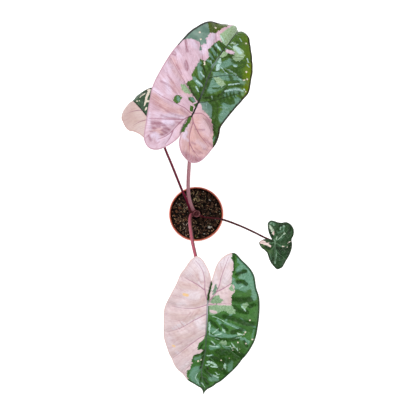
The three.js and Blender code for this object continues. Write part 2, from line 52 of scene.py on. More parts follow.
# Each blade is drawn flat in millimetres, as [t, s] points: s runs along the midrib from the
# petiole junction to the tip, t across it, positive to the right of someone who faces the tip.
# The flat blade is then bent: heading, roll and pitch are in degrees, arch, lobe_arch and hook in
# degrees per 100 mm, and the hook starts at hook_from, later to the right by skew. bow shifts the
# midrib sideways round one place. valley and droop raise and lower the margins, puff lifts the
# skin between veins, and folds are lines with a half width and a rise. quilting is how strong the
# fine relief is on pink and on green skin, and rib_tone how light the midrib is along s.
BLADES = {
    "north": dict(
        junction=(-0.7, 175.9, 400), heading=63.3, roll=14, pitch=8, arch=11, lobe_arch=6,
        hook_from=173, hook=125, skew=0.42, bow=(-8, 105, 60), valley=0.14, droop=0.0022,
        puff=3.2, quilting=(0.4, 1.3),
        # The midrib's light stretch is a pale rib with a painted highlight.
        rib_tone=[
            (-5, 0), (30, 0), (42, 0.2), (90, 0.15), (98, 0.7), (118, 0.6), (126, 0.1), (240, 0),
        ],
        left=[
            (-3, -43), (-4.4, -50), (-7.4, -58), (-15, -71), (-27, -84), (-42, -88),
            (-57, -77), (-68, -46), (-78, -14), (-84, 12), (-83, 42), (-78, 75), (-72, 103),
            (-67, 134), (-58, 158), (-46, 176), (-34, 190), (-22, 205), (-10, 224), (0, 240),
        ],
        right=[
            (-3, -43), (-1.6, -50), (1.6, -57.5), (10.5, -68), (22, -74), (36, -76),
            (48, -68), (54, -54), (58, -38), (60, -24), (58, -6), (55, 8), (59, 28), (66, 52),
            (73, 72), (79, 93), (75, 111), (69, 126), (61, 143), (52, 158), (41, 170), (33, 182),
            (26, 193), (16, 202), (9, 216), (5, 228), (0, 240),
        ],
        veins=dict(
            midrib=[
                (0, -4), (0, 30), (0, 60), (0, 90), (0, 120), (0, 150), (0, 180), (0, 200), (0, 224),
            ],
            leftBasal=[(0, -2), (-10, -15), (-16, -32), (-20, -46), (-26, -58), (-35, -68)],
            leftBasalOut=[(-10, -15), (-31, -27), (-47, -35), (-64, -43)],
            leftBasalIn=[(-18, -41), (-17, -54), (-19, -70)],
            left1=[(0, 0), (-17, 3), (-36, 2), (-61, 1), (-79, 3)],
            left2=[(0, 25), (-16, 33), (-36, 43), (-58, 56), (-74, 68)],
            left3=[(0, 66), (-14, 86), (-30, 108), (-46, 128)],
            left4=[(0, 112), (-13, 134), (-28, 156), (-38, 174)],
            rightBasal=[(0, -2), (6, -10), (9, -24), (12, -36), (18, -48), (24, -60), (29, -70)],
            rightBasalIn=[(17, -46), (28, -54), (41, -60)],
            rightBasalOut=[(6, -10), (16, -18), (28, -26), (40, -31), (52, -36)],
            right1=[(0, 2), (11, 9), (20, 10), (34, 7), (50, 2)],
            right2=[(0, 24), (12, 32), (28, 46), (46, 64), (64, 84)],
            right3=[(0, 74), (14, 86), (34, 102), (60, 118)],
            right4=[(0, 116), (14, 132), (32, 146), (50, 154)],
            right5=[(0, 158), (12, 172), (25, 184)],
        ),
        folds=[
            ((10, 48), (64, 102), 10, 4.5), ((18, 34), (66, 78), 6, -3), ((26, 26), (66, 66), 8, 3),
            ((22, 12), (50, -4), 7, -4), ((58, 128), (76, 132), 9, 4),
            ((-38, 160), (-36, 190), 9, -3.5), ((-12, 168), (-10, 200), 9, 4.5),
        ],
    ),
    "south": dict(
        junction=(25.6, -158.3, 360), heading=-92.5, roll=9, pitch=12, arch=11, lobe_arch=6,
        hook_from=185, hook=30, skew=0, bow=(5.5, 145, 28), valley=0.14, droop=0.0022,
        puff=3.2, quilting=(0.8, 0.6),
        # The midrib's light stretch is a pale rib with a painted highlight.
        rib_tone=[(-5, 0.6), (4, 1), (20, 1), (45, 0.6), (66, 0.1), (100, 0.1), (150, 0.2), (200, 0)],
        left=[
            (-5.6, -42), (-6.8, -49), (-9, -58), (-13.5, -73), (-22, -86), (-35, -95),
            (-46, -96), (-58, -85), (-72, -72), (-81, -58), (-86, -37), (-92, -18), (-94, 6),
            (-93, 34), (-90, 60), (-82, 82), (-69, 107), (-58, 129), (-45, 149), (-26, 170),
            (-9, 187), (0, 207),
        ],
        right=[
            (-5.6, -42), (-4.2, -49), (-1.8, -57), (5, -70), (13, -81), (23, -86), (34, -78),
            (44, -62), (52, -50), (58, -33), (68, -11), (78, 12), (81, 30), (80, 54), (80, 78),
            (74, 98), (64, 120), (49, 142), (32, 165), (19, 179), (8, 186), (3, 194), (0, 207),
        ],
        veins=dict(
            midrib=[(0, -4), (0, 30), (0, 60), (0, 90), (0, 120), (0, 150), (0, 180), (0, 198)],
            leftBasal=[(0, -2), (-8, -12), (-15, -23), (-20, -36), (-22, -48), (-28, -69), (-34, -88)],
            leftBasalOut=[(-15, -23), (-28, -31), (-44, -44), (-58, -60)],
            left1=[(0, 3), (-16, 0), (-31, -2), (-50, -3), (-78, -1)],
            left2=[(0, 21), (-15, 25), (-34, 31), (-52, 38), (-80, 52)],
            left3=[(0, 66), (-14, 71), (-28, 77), (-44, 88), (-66, 104)],
            left4=[(0, 106), (-16, 116), (-38, 134)],
            left5=[(0, 146), (-12, 156), (-24, 166)],
            rightBasal=[(0, -2), (3, -11), (6, -24), (7, -41), (11, -58), (18, -70), (25, -77)],
            rightBasalOut=[(6, -24), (19, -33), (32, -39), (44, -45)],
            right1=[(0, 3), (14, 9), (27, 13), (42, 14), (66, 14)],
            right2=[(0, 20), (16, 31), (30, 41), (47, 54), (74, 68)],
            right3=[(0, 63), (15, 74), (30, 89), (44, 105), (58, 124)],
            right4=[(0, 104), (12, 120), (28, 142), (36, 156)],
            right5=[(0, 146), (9, 160), (14, 176)],
        ),
        folds=[
            ((-30, -58), (-80, -36), 12, 3.5), ((-60, 60), (-88, 44), 10, -3),
            ((44, -30), (70, -6), 10, 3), ((50, 60), (80, 60), 12, 3),
        ],
    ),
    "west": dict(
        junction=(-67.1, 159.7, 300), heading=130.7, roll=-6, pitch=8, arch=18, lobe_arch=6,
        hook_from=70, hook=200, skew=-0.15, bow=(2, 60, 30),
        valley=(-0.12, 0.02), droop=(0.003, 0.002),
        puff=1.6, quilting=(0.4, 0.5),
        rib_tone=[(0, 1), (26, 1), (34, 0), (112, 0)],
        left=[
            (0, -3), (-3, -12), (-8, -24), (-16, -29), (-26, -22), (-30, -6), (-31, 8), (-33, 22),
            (-38.5, 35), (-46, 47), (-47.5, 58), (-44, 72), (-38, 86), (-22, 101), (0, 112),
        ],
        right=[
            (0, -3), (3, -12), (8, -24), (17, -29), (28, -22), (35, -6), (41, 12), (47, 32),
            (50, 54), (48, 69), (40, 83), (22, 98), (0, 112),
        ],
        veins=dict(
            midrib=[(0, -3), (0, 20), (0, 40), (0, 60), (0, 80), (0, 103)],
            leftBasal=[(0, -1), (-8, -10), (-16, -22)],
            left1=[(0, 4), (-14, 10), (-28, 16)],
            left2=[(0, 30), (-15, 40), (-34, 48)],
            left3=[(0, 54), (-12, 66), (-28, 76)],
            rightBasal=[(0, -1), (8, -10), (17, -22)],
            right1=[(0, 4), (16, 12), (34, 20)],
            right2=[(0, 28), (16, 40), (38, 52)],
            right3=[(0, 54), (13, 66), (28, 76)],
        ),
        folds=[((-30, 22), (-40, 36), 7, 2.5)],
    ),
    "east": dict(
        junction=(163.6, -56.5, 205), heading=-88, roll=4, pitch=14, arch=25, lobe_arch=10,
        hook_from=60, hook=40, skew=0, bow=(-5, 66, 14), valley=0.16, droop=0.004,
        puff=1.6, quilting=(0.5, 0.5),
        rib_tone=[(-6, 0.3), (2, 0.8), (8, 0.3), (40, 0.3), (60, 0)],
        left=[
            (6, -6), (10, -14), (13, -23), (14.5, -33), (14, -41), (9, -46), (2, -45), (-6, -42),
            (-14, -41), (-23, -42), (-32, -37), (-38, -27), (-38, -15), (-34, -5), (-35, 6),
            (-33, 18), (-26, 35), (-15, 53), (-8, 59.5), (-3, 62.5), (0, 63.5),
        ],
        right=[
            (6, -6), (11, -6.5), (18, -7.5), (26, -5.5), (32, -1), (32, 4), (28, 11), (21, 17),
            (16, 24), (13, 34), (10, 43), (6, 53), (3, 60), (0, 63.5),
        ],
        veins=dict(
            midrib=[(0, -2), (0, 14), (0, 30), (0, 46), (0, 60)],
            leftBasal=[(0, -2), (0, -14), (4, -26), (8, -38)],
            left1=[(0, -1), (-10, -10), (-20, -19), (-30, -28)],
            left2=[(0, 2), (-12, 7), (-20, 8), (-31, 6)],
            left3=[(0, 18), (-10, 28), (-20, 36)],
            rightBasal=[(0, 0), (8, 2), (17, 1), (27, 0)],
            right1=[(0, 6), (6, 15), (12, 24)],
        ),
        folds=[((-26, 0), (-40, -8), 5, -3), ((8, -30), (12, -44), 7, 3)],
    ),
}

# The variegation of each blade, as flat polygons over a pink ground. Later kinds lie over earlier
# ones. flecks are small cream spots: t, s and radius.
PATCH_KINDS = ("green", "grey", "olive", "pale", "pink", "cream")
PATCHES = {
    "north": dict(
        green=[
            [
                (12, 150), (-8, 150), (-19, 148), (-22, 132), (-23, 118), (-15, 108), (-18, 98),
                (-27, 94), (-28, 84), (-31, 66), (-27, 51), (-34, 43), (-16, 32), (-4, 26),
                (12, 30),
            ],
            [
                (-6, 16), (0, 26), (-6, 150), (0, 190), (-8, 250), (110, 250), (110, -45),
                (62, -45), (58, -33), (49, -20), (48, -10), (40, 4), (27, 13), (20, 14), (11, 18),
                (3, 27), (-1, 14),
            ],
            [
                (0, -2), (-3, -4), (-5, -12), (-6, -24), (-6, -34), (-4, -40), (-1, -34), (1, -20),
                (2, -10),
            ],
            [(-43, 6), (-42, 13), (-36, 18), (-30, 15), (-29, 8), (-33, 3), (-40, 2)],
            [(-20, 22), (-13, 28), (-4, 23), (-8, 18), (-18, 17)],
            [(-12, 12), (-4, 13), (-2, 4), (-7, 3)],
        ],
        grey=[
            [
                (-95, 66), (-82, 76), (-73, 96), (-66, 112), (-59, 119), (-51, 120), (-45, 124),
                (-39, 118), (-35, 108), (-32, 112), (-38, 119), (-36, 125), (-32, 126), (-38, 137),
                (-38, 149), (-32, 158), (-22, 178), (-22, 250), (-110, 250), (-110, 100),
            ],
            [(2, 27), (13, 33), (22, 32), (29, 21), (34, 10), (24, 14), (12, 16)],
        ],
        olive=[
            [(-60, 172), (-48, 158), (-38, 149), (-31, 158), (-21, 180), (-20, 250), (-80, 230)],
        ],
        pale=[
            [(1, 205), (1, 149), (-9, 148), (-20, 155), (-22, 160), (-17, 182), (-12, 205)],
            [
                (17, 160), (27, 160), (36, 154), (38, 149), (36, 139), (31, 133), (26, 131),
                (21, 137), (21, 143), (16, 148), (10, 149), (11, 156),
            ],
            [(1, 122), (1, 137), (8, 138), (10, 131), (6, 124)],
            [(2, 158), (5, 167), (11, 166), (10, 159), (5, 156)],
            [(7, 81), (17, 86), (27, 84), (33, 79), (27, 70), (19, 71), (14, 76)],
            [(-42, 33), (-36, 39), (-19, 33), (-17, 30), (-26, 26), (-36, 27)],
        ],
        pink=[[(3, 139), (6, 144), (12, 145), (18, 147), (19, 142), (12, 139), (8, 136)]],
        flecks=[
            (-36, 168, 2.2), (-53, 138, 1.9), (-44, 129, 1.6), (56, 126, 1.7), (60, 108, 2.0),
            (65, 115, 2.0), (-18, 95, 1.7), (-16, 92, 1.5), (73, 92, 1.2), (26, 179, 1.7),
        ],
    ),
    "south": dict(
        green=[
            [
                (-40, -106), (-40, -88), (-43, -79), (-43, -65), (-42, -56), (-42, -41), (-48, -36),
                (-48, -29), (-45, -24), (-43, -16), (-43, -6), (-43, 0), (-30, 3), (-14, 2),
                (-2, 5), (0.8, 8), (1.5, 30), (1.5, 62), (4, 72), (12, 81), (15, 88), (14, 95),
                (7, 94), (3, 98), (12, 104), (20, 109), (23, 119), (20, 127), (22, 135), (20, 139),
                (27, 148), (29, 153), (27, 165), (34, 180), (20, 220), (-60, 220), (-120, 60),
                (-120, -60), (-80, -106),
            ],
            [(-2, 0), (2, -2), (1, -14), (-2, -28), (-5, -41), (-7, -41), (-6, -28), (-4, -14)],
        ],
        grey=[[(-8, -16), (-9, -24), (-11, -33), (-13, -38), (-15, -36), (-16, -29), (-13, -20)]],
        pale=[
            [(-4, -1), (-9, -11), (-13, -17), (-21, -16), (-29, -9), (-24, -3), (-10, 0)],
            [
                (-3, 4), (-26, 1), (-43, -1), (-51, 6), (-51, 13), (-41, 15), (-35, 10), (-28, 11),
                (-22, 15), (-13, 21), (-4, 22),
            ],
            [(-41, -41), (-46, -33), (-48, -28), (-42, -27), (-38, -31)],
            [(-25, 75), (-30, 68), (-37, 68), (-40, 75), (-30, 80)],
            [(-55, 51), (-60, 50), (-65, 54), (-59, 56)],
            [(-61, -3), (-70, -8), (-74, -4), (-69, 5), (-65, 1)],
        ],
        pink=[[(-4, 12), (-10, 11), (-18, 13), (-20, 16), (-12, 18), (-5, 17)]],
        flecks=[
            (-78, 24, 1.4), (-71, 50, 1.5), (-69, 54, 1.1), (-85, 62, 1.6), (-59, 69, 1.5),
            (-74, 71, 1.5), (-51, 80, 1.2), (-51, 88, 1.4), (-63, 82, 0.9), (-63, 90, 0.9),
            (-32, 111, 1.7), (-46, 104, 1.1), (10, 122, 1.9), (5, 119, 1.4), (-38, 132, 0.9),
        ],
    ),
    "west": dict(
        green=[[(-0.5, 30), (-0.5, 120), (80, 120), (70, 40), (30, 20), (4, 20)]],
        cream=[
            [
                (6, 57), (11, 57.5), (17, 60.5), (24, 66), (31, 69), (37, 73), (41, 80), (43, 88),
                (34, 88), (33, 79), (28, 74), (21, 70), (14, 64), (9, 60),
            ],
            [(16, 60.5), (19, 57), (25, 55.5), (31, 59), (26, 58.5), (22, 59.5), (20, 63)],
            [(3, 49), (6, 52.5), (11, 53), (11, 50), (7, 48)],
            [(12, 77.5), (16, 80), (20, 79), (27, 80), (27, 78), (19, 77)],
            [(3, 75), (3.5, 79), (6, 79), (6, 75)],
        ],
        flecks=[(9, 84, 0.9), (8, 73, 1.1)],
    ),
    "east": dict(
        green=[[(-60, -70), (60, -70), (60, 90), (-60, 90)]],
        pale=[
            [(14, -39), (10, -36), (4, -29), (1, -23), (5, -18), (9, -26), (14, -33)],
            [(-7, -5), (-12, -9), (-20, -18), (-19, -19), (-10, -10), (-6, -6)],
            [(-3, -5), (-5, -13), (-4, -14), (-1, -6)],
        ],
        pink=[
            [
                (33, -3), (30, -5), (22, -4), (18, 0), (12, 1), (13, 4), (8, 7), (9, 11), (16, 7),
                (25, 4), (31, 2),
            ],
            [(4, -24), (1, -22), (1, -18), (3, -15), (5, -19)],
            [(-24, 4), (-30, -1), (-34, -2), (-27, 3)],
        ],
        flecks=[
            (-15, 9.5, 1.3), (-18, 9.5, 1.2), (-25, 11, 0.8), (-33, 10, 0.9), (-32, 16, 0.7),
            (28, 7, 0.8),
        ],
    ),
}

# The lie and the tone of each blade's skin, as soft marks: a half width in mm, a strength and a
# line of flat points. On the pink ground, warm and blush marks tint it, chalk marks are pale
# raised ridges with a painted sheen and crease marks are faint folds darkened with painted shade.
# On the green, tint marks warm it, deep marks are furrows darkened with painted shade, sheen marks
# are panels with a painted silvery sheen and glint marks narrow ridges with painted highlights. On
# either, seam marks are thin dark lines, partly painted shadow in gaps and folds and partly the
# blade's own dark lines and spots, and gold marks small bright spots.
MARK_KINDS = ("warm", "blush", "chalk_sheen", "tint", "gold", "furrow_shade", "sheen", "glint", "crease_shade", "seam_shadow")
MARKS = {
    "north": dict(
        warm=[
            (9, 0.8, (-72, -8), (-55, -14), (-35, -14), (-20, -8)), (4, 0.5, (-14, -3), (-4, -2)),
            (6, 0.5, (-72, 66), (-56, 60)), (5, 0.4, (-60, 50), (-44, 46)),
            (6, 0.5, (-56, 28), (-46, 20)), (5, 0.5, (-44, 24), (-20, 28)),
            (28, 1, (20, -12), (28, -50)), (6, 0.7, (-48, -58), (-36, -54)),
            (14, 0.8, (46, -16), (52, -50)), (12, 0.7, (16, -70), (36, -74)),
            (10, 0.3, (-30, 184), (-24, 168)), (5, 0.35, (8, 141), (17, 144)),
        ],
        blush=[
            (2, 1, (-67, 112), (-54, 93)), (2.4, 1, (-56, 96), (-53, 93)),
            (1.7, 1, (-49, 76), (-45, 73), (-41, 66), (-41, 62)),
            (1.6, 1, (-49, 71), (-46, 66), (-43, 63)), (4, 0.55, (-47, 73), (-43, 66)),
            (1.5, 0.9, (-77, 79), (-71, 80), (-69, 76), (-75, 76)),
            (1.6, 0.8, (-65, 118), (-57, 120)), (1.5, 0.6, (-77, 69), (-73, 65)),
            (4, 0.5, (-75, 102), (-71, 84)), (2.6, 0.4, (-62, 64), (-54, 58)),
            (3.4, 0.85, (-56, -48), (-46, -43), (-36, -42)), (3, 0.8, (-34, -37), (-22, -33)),
            (3, 0.9, (-34, -46), (-24, -44)), (2.6, 1, (-35, -51), (-25, -51)),
            (3.6, 0.9, (-55, -56), (-48, -54)), (2.6, 0.9, (-46, -49), (-42, -47)),
            (2, 0.9, (-34, -58), (-28, -56)), (1.8, 0.8, (-52, -62), (-44, -60)),
            (2.6, 0.6, (-20, -26), (-12, -24)), (2.4, 0.8, (-51, -70), (-44, -75)),
            (1.4, 0.5, (-32, -22), (-24, -20)), (7, 0.4, (-72, -12), (-60, -20)),
            (3, 0.5, (-22, -3), (-8, -4)), (6, 0.3, (-30, -12), (-40, -16)),
            (4, 0.6, (28, 6), (38, 2), (42, -5)), (1.2, 1, (31.5, 6), (32.5, 5)),
            (3, 0.6, (38, -28), (56, -31)), (2.4, 0.5, (22, -20), (30, -14)),
            (6, 0.75, (18, -68), (36, -68), (50, -63)), (4, 0.8, (16, -73), (34, -76), (48, -69)),
            (2, 0.7, (20, -44), (27, -44)), (2, 0.5, (44, -44), (52, -42)),
            (2.4, 0.5, (30, -56), (42, -54)), (5, 0.3, (-50, 26), (-40, 22)),
        ],
        chalk_sheen=[
            (4, 0.9, (-12, -14), (-24, -17), (-36, -22), (-44, -28)),
            (5.4, 1, (-27, -31), (-38, -36)), (4.4, 0.9, (-46, -66), (-40, -62), (-34, -68)),
            (5, 0.7, (-54, 12), (-60, 20), (-68, 26)), (4, 0.7, (-64, 2), (-84, 6)),
            (4, 0.5, (-72, 84), (-62, 78)), (6, 0.6, (-46, 110), (-56, 112)),
            (6, 0.4, (-70, 44), (-76, 56)), (3.4, 0.6, (-68, -36), (-60, -52), (-55, -58)),
            (6, 0.35, (-14, -44), (-20, -60), (-24, -72)), (5, 0.5, (-50, -28), (-56, -32)),
            (4.4, 1, (3, -34), (4, -42)), (2.6, 0.8, (8, -43), (13, -44)),
            (2.4, 0.6, (2, -20), (2, -28)), (9, 0.4, (24, -6), (36, -14)),
            (4, 0.4, (28, -38), (44, -40)), (6, 0.8, (-30, 108), (-29, 128), (-31, 152)),
            (5, 0.6, (8, 141), (17, 144)),
        ],
        tint=[(17, 1, (62, 142), (74, 112), (76, 92)), (16, 0.5, (46, 164), (24, 190))],
        furrow_shade=[
            (3.2, 1, (2.5, 28), (3, 50), (4, 72), (4, 84)),
            (4, 1, (6, 36), (14, 42), (22, 46), (30, 52)),
            (3.6, 1, (29, 52), (33, 62), (38, 76), (48, 86), (62, 95)),
            (7.5, 1, (22, 44), (30, 36), (33, 24), (40, 12), (47, 2)),
            (3, 1, (38, 52), (48, 50), (58, 57)), (4.5, 1, (36, 100), (44, 92), (52, 97)),
            (6, 1, (27, 107), (40, 116), (52, 112)), (4, 1, (24, 128), (34, 132), (40, 140)),
            (3, 1, (12, 136), (20, 137)), (4.5, 1, (50, 0), (55, -8), (58, -20)),
            (3.4, 1, (-34, 43), (-25, 40), (-12, 34), (-3, 31)),
            (2.6, 1, (-3, 40), (-5, 58), (-4, 74), (-4, 92)), (2.4, 1, (-16, 60), (-5, 59)),
            (2.4, 1, (-20, 87), (-10, 83), (-4, 78)), (2.2, 1, (-16, 98), (-6, 92)),
            (2.2, 1, (-14, 106), (-5, 108)), (1.8, 1, (-13, 118), (-3, 115)),
            (1.9, 1, (-20, 131), (-10, 129), (-2, 128)), (2, 1, (-12, 147), (-6, 142), (-1, 144)),
            (1.6, 1, (3, 147), (10, 146)), (3, 1, (4, 92), (12, 98)), (2.2, 1, (36, 60), (43, 56)),
            (2.2, 1, (42, 66), (49, 61)), (2.2, 1, (48, 71), (55, 67)), (2, 1, (54, 76), (60, 71)),
            (2.2, 1, (64, 84), (70, 79)), (4, 0.9, (36, 50), (48, 54), (56, 60)),
            (2.4, 1, (14, 60), (24, 66), (30, 74)), (2.5, 1, (40, 122), (46, 132), (44, 144)),
        ],
        sheen=[
            (8.5, 1, (10, 56), (16, 64), (24, 72)), (6, 1, (7, 76), (10, 64)),
            (8, 1, (10, 86), (24, 91), (40, 100), (58, 102)),
            (5.5, 1, (35, 62), (46, 74), (58, 84), (68, 86)), (4, 1, (58, 72), (68, 70)),
            (5, 1, (62, 66), (66, 62)), (9, 1, (46, 48), (51, 34), (50, 20)),
            (5, 1, (59, 58), (60, 46)), (6.5, 1, (11, 106), (18, 116), (22, 126)),
            (3, 1, (30, 122), (35, 124)), (5.5, 1, (-24, 86), (-18, 72), (-13, 66)),
            (4, 1, (-24, 56), (-10, 52)), (3.6, 1, (-20, 112), (-8, 112)),
            (3, 1, (-20, 124), (-6, 122)), (2.8, 1, (-18, 137), (-4, 135)),
            (2.4, 1, (-16, 101), (-8, 101)), (3, 1, (-2, 98), (3, 112)),
            (3.4, 1, (16, 30), (14, 19)), (2.2, 1, (54, -14), (52, -24), (46, -36)),
            (3, 1, (-36, 12), (-33, 9)), (3, 1, (-14, 24), (-8, 22)),
        ],
        glint=[
            (1.8, 1, (-17, 139), (-5, 134)), (2.2, 1, (-18, 55), (-6, 54)),
            (1.8, 1, (-15, 45), (-8, 41)), (1.8, 1, (-18, 73), (-7, 71)),
            (2.4, 1, (5, 162), (8, 161)), (3.4, 1, (14, 157), (20, 153), (27, 153)),
            (1.4, 1, (2, 143), (8, 142)), (1.5, 0.9, (15, 166), (12, 160)),
            (5, 0.9, (14, 155), (21, 155)), (2.4, 0.9, (4, 119), (5, 111)),
            (2.6, 0.9, (7, 106), (10, 98)), (1.8, 0.9, (3, 152), (9, 150)),
            (1.8, 1, (44, 152), (50, 147)), (1.5, 1, (50, 139), (55, 137)),
            (1.6, 1, (31, 120), (35, 122)), (1, 1, (11, 180), (17, 178)),
            (1.4, 1, (5, 104), (8, 95)), (1.1, 1, (-9, 103), (-3, 98)),
            (1.6, 0.8, (38, 81), (46, 88), (55, 95)), (2.4, 0.55, (30, 108), (44, 110), (56, 103)),
            (1.2, 1, (-20, 158), (-8, 151)), (0.9, 1, (12, 104), (22, 101), (30, 102)),
            (1.2, 0.7, (17, 46), (20, 43)), (1.8, 0.8, (36, 67), (48, 78), (58, 86), (68, 90)),
            (1.4, 0.7, (8, 98), (9, 108), (7, 116)), (1.1, 0.6, (38, 36), (52, 42)),
            (1, 0.5, (42, 26), (54, 32)), (1.4, 0.5, (14, 34), (16, 22)),
            (1, 0.7, (20, 106), (30, 110)), (1.4, 0.9, (67, 93), (70, 93)),
            (1, 0.6, (24, 64), (30, 76)),
        ],
        crease_shade=[
            (2, 1, (-18, -18), (-34, -26), (-48, -29)), (2, 1, (-14, -12), (-34, -18), (-58, -16)),
            (1.6, 1, (-26, -44), (-40, -40), (-52, -46)), (1.5, 1, (-54, 30), (-68, 36)),
            (2.2, 1, (-40, 16), (-56, 22), (-74, 22)), (1.5, 1, (20, 4), (34, -2), (44, -14)),
            (1.4, 1, (16, -20), (30, -14)), (1.5, 1, (30, -50), (46, -52)),
            (1.6, 1, (-46, 52), (-60, 62)),
        ],
        seam_shadow=[
            (1.1, 0.9, (-3.4, -5), (-5.4, -14), (-6.5, -30), (-4, -43)), (1, 0.8, (0, -2), (0, 30)),
            (1.3, 0.6, (5, 36), (12, 40), (18, 44)), (1, 0.6, (28, 52), (33, 62), (37, 74)),
            (1.2, 0.6, (-26, 41), (-14, 34), (-4, 31)), (1.2, 0.5, (-18, 88), (-4, 79)),
            (1.2, 0.5, (-19, 131), (-4, 129)), (1.2, 0.5, (-13, 147), (-2, 144)),
            (2.4, 0.5, (42, 4), (48, -4), (56, -18)), (1, 0.5, (24, 45), (32, 40), (38, 24)),
            (0.8, 0.6, (3, 38), (3.5, 84)),
            (
                2.2, 0.75, (-52, 188), (-44, 195), (-36, 200), (-20, 200), (-8, 201), (0, 204),
                (8, 210), (14, 213),
            ),
        ],
    ),
    "south": dict(
        warm=[
            (6, 0.6, (14, 16), (24, 28), (32, 42)), (8, 0.5, (40, 32), (62, 32)),
            (7, 0.6, (10, -4), (24, 2)), (7, 0.65, (24, -28), (48, -30)),
            (6, 0.55, (24, 64), (52, 74)), (7, 0.4, (34, 104), (60, 112)),
            (6, 0.4, (44, 84), (60, 64)), (5, 0.5, (12, -46), (20, -50)),
            (4, 0.5, (-40, -6), (-42, -22)),
        ],
        blush=[
            (5, 0.3, (44, 38), (62, 36)), (5, 0.3, (36, 80), (50, 76)),
            (4, 0.3, (24, 62), (20, 50)), (2.5, 0.6, (10, -38), (17, -44)),
            (2, 0.5, (12, -50), (20, -52)), (3, 0.4, (30, -48), (36, -50)),
            (3, 0.4, (0, -34), (0, -46)), (4, 0.35, (6, -8), (5, -24)),
        ],
        chalk_sheen=[
            (8, 0.85, (8, 46), (16, 34)), (4.6, 0.9, (14, -56), (12, -44)),
            (10, 0.7, (22, -14), (36, -14)), (12, 1, (20, -76), (8, -66)),
            (4, 0.85, (60, 56), (50, 48)), (2, 0.9, (12, -32), (17, -38)),
            (6, 0.55, (44, 2), (52, 8)), (4.4, 0.8, (50, 110), (52, 108)),
            (6, 0.5, (30, 126), (36, 142)), (9, 0.95, (-36, -86), (-22, -76)),
            (7, 0.7, (-34, -62), (-30, -42)), (5, 0.6, (-12, -50), (-14, -40)),
            (2, 0.9, (40, 47), (46, 41)), (2, 0.8, (28, 36), (34, 44)),
            (6, 0.5, (36, -52), (30, -66)), (5, 0.4, (68, 80), (70, 100)),
        ],
        tint=[
            (25, 0.95, (-20, 112), (-50, 108)), (15, 0.9, (-30, 134), (-14, 142)),
            (14, 0.7, (-62, 84), (-50, 90)), (8, 0.6, (-8, 172), (-6, 160)),
            (10, 0.4, (-60, -8), (-70, -14)),
        ],
        gold=[(3.2, 1, (37, -13), (43, -14)), (2.4, 0.9, (58, 95), (61, 94))],
        furrow_shade=[
            (4, 1, (-52, -45), (-62, -47), (-68, -42)), (3.6, 1, (-50, -58), (-66, -66)),
            (3, 1, (-44, -90), (-43, -76), (-44, -64)),
            (6.5, 1, (-46, -12), (-60, -12), (-76, -14)), (4.5, 1, (-48, 2), (-58, 8), (-72, 10)),
            (3.6, 1, (-76, 0), (-84, -4)), (5.5, 1, (-32, 22), (-50, 24), (-68, 30), (-84, 32)),
            (3, 1, (-22, 46), (-16, 38), (-6, 33)), (3, 1, (-38, 46), (-28, 38)),
            (4.5, 1, (-48, 50), (-64, 46)), (4.5, 1, (-20, 67), (-40, 66), (-58, 62)),
            (2.4, 1, (-18, 80), (-9, 78)), (3, 0.8, (-18, 153), (-15, 148)),
            (2, 1, (-26, 50), (-16, 42), (-6, 34)), (6.5, 1, (-24, 93), (-40, 92), (-58, 94)),
            (7.5, 1, (-16, 112), (-32, 110), (-44, 110)), (6, 1, (-56, 104), (-68, 96)),
            (5, 1, (-32, 132), (-46, 138)), (5, 1, (-8, 172), (-5, 164)),
            (3, 1, (-11, 146), (-6, 140)), (2.2, 1, (-11, 136), (-9, 132)),
            (1.8, 1, (2, 137), (4, 135)), (2.5, 1, (3, 98), (4, 110), (3, 128)),
            (2, 1, (10, 107), (18, 109)), (2, 1, (-36, 116), (-34, 108)),
            (3, 0.9, (-40, 96), (-28, 100)), (2.4, 1, (6, 84), (10, 92)),
            (1.5, 1, (6, 180), (6, 172), (2, 160)), (2.2, 1, (-14, 119), (-10, 117)),
            (2.5, 1, (-34, 116), (-36, 112)), (2.5, 1, (-76, 76), (-70, 66)),
        ],
        sheen=[
            (6.5, 1, (-54, -86), (-70, -70), (-77, -56)), (4.5, 1, (-60, -76), (-52, -66)),
            (6.5, 1, (-78, -46), (-84, -30), (-82, -18)), (3.6, 1, (-50, -35), (-62, -36)),
            (2.6, 1, (-56, -53), (-74, -52)), (2.2, 0.8, (-88, 38), (-72, 30), (-62, 22)),
            (2.4, 0.6, (-86, 44), (-84, 60)), (6.5, 0.8, (-12, 50), (-22, 53), (-34, 57)),
            (2, 1, (-6, 36), (-5, 50)), (3, 0.9, (-70, 48), (-52, 39), (-34, 33)),
            (4, 0.8, (-44, 88), (-34, 80)), (3.4, 0.7, (-78, 66), (-60, 60), (-40, 60)),
            (2.6, 1, (-40, 57), (-56, 56)), (3.4, 1, (-70, 62), (-76, 70)),
            (2.6, 1, (-6, 60), (-16, 63), (-30, 61)), (6.5, 1, (-19, 150), (-27, 155), (-17, 160)),
            (5, 1, (-50, 112), (-52, 128)), (2.4, 1, (-40, 104), (-43, 120)),
            (7.5, 1, (10, 176), (17, 162), (13, 146), (8, 138)), (4, 1, (15, 117), (8, 114)),
            (3, 1, (-14, 102), (-8, 107)), (5, 0.8, (-10, 88), (-24, 82)),
            (8, 0.9, (-54, -40), (-66, -36), (-72, -50)), (4, 0.9, (-46, -40), (-44, -50)),
            (7, 0.8, (-56, -62), (-68, -56)), (3, 0.8, (-20, 30), (-32, 42)),
            (3, 1, (-62, -2), (-68, -4)), (2.4, 1, (-30, 96), (-44, 84)),
            (2.4, 1, (-34, 30), (-46, 12)),
        ],
        glint=[
            (1.4, 1, (-69, 7), (-62, 0)), (1.2, 1, (-34, 47), (-30, 45)),
            (1.9, 1, (-12, 103), (-5, 107)), (2.2, 1, (-25, 125), (-17, 121), (-8, 120)),
            (1.6, 1, (-28, 129), (-16, 127)), (1.4, 1, (-12, 124), (-6, 128)),
            (1.3, 1, (-17, 59), (-28, 54)), (1.2, 0.9, (-12, 56), (-22, 46)),
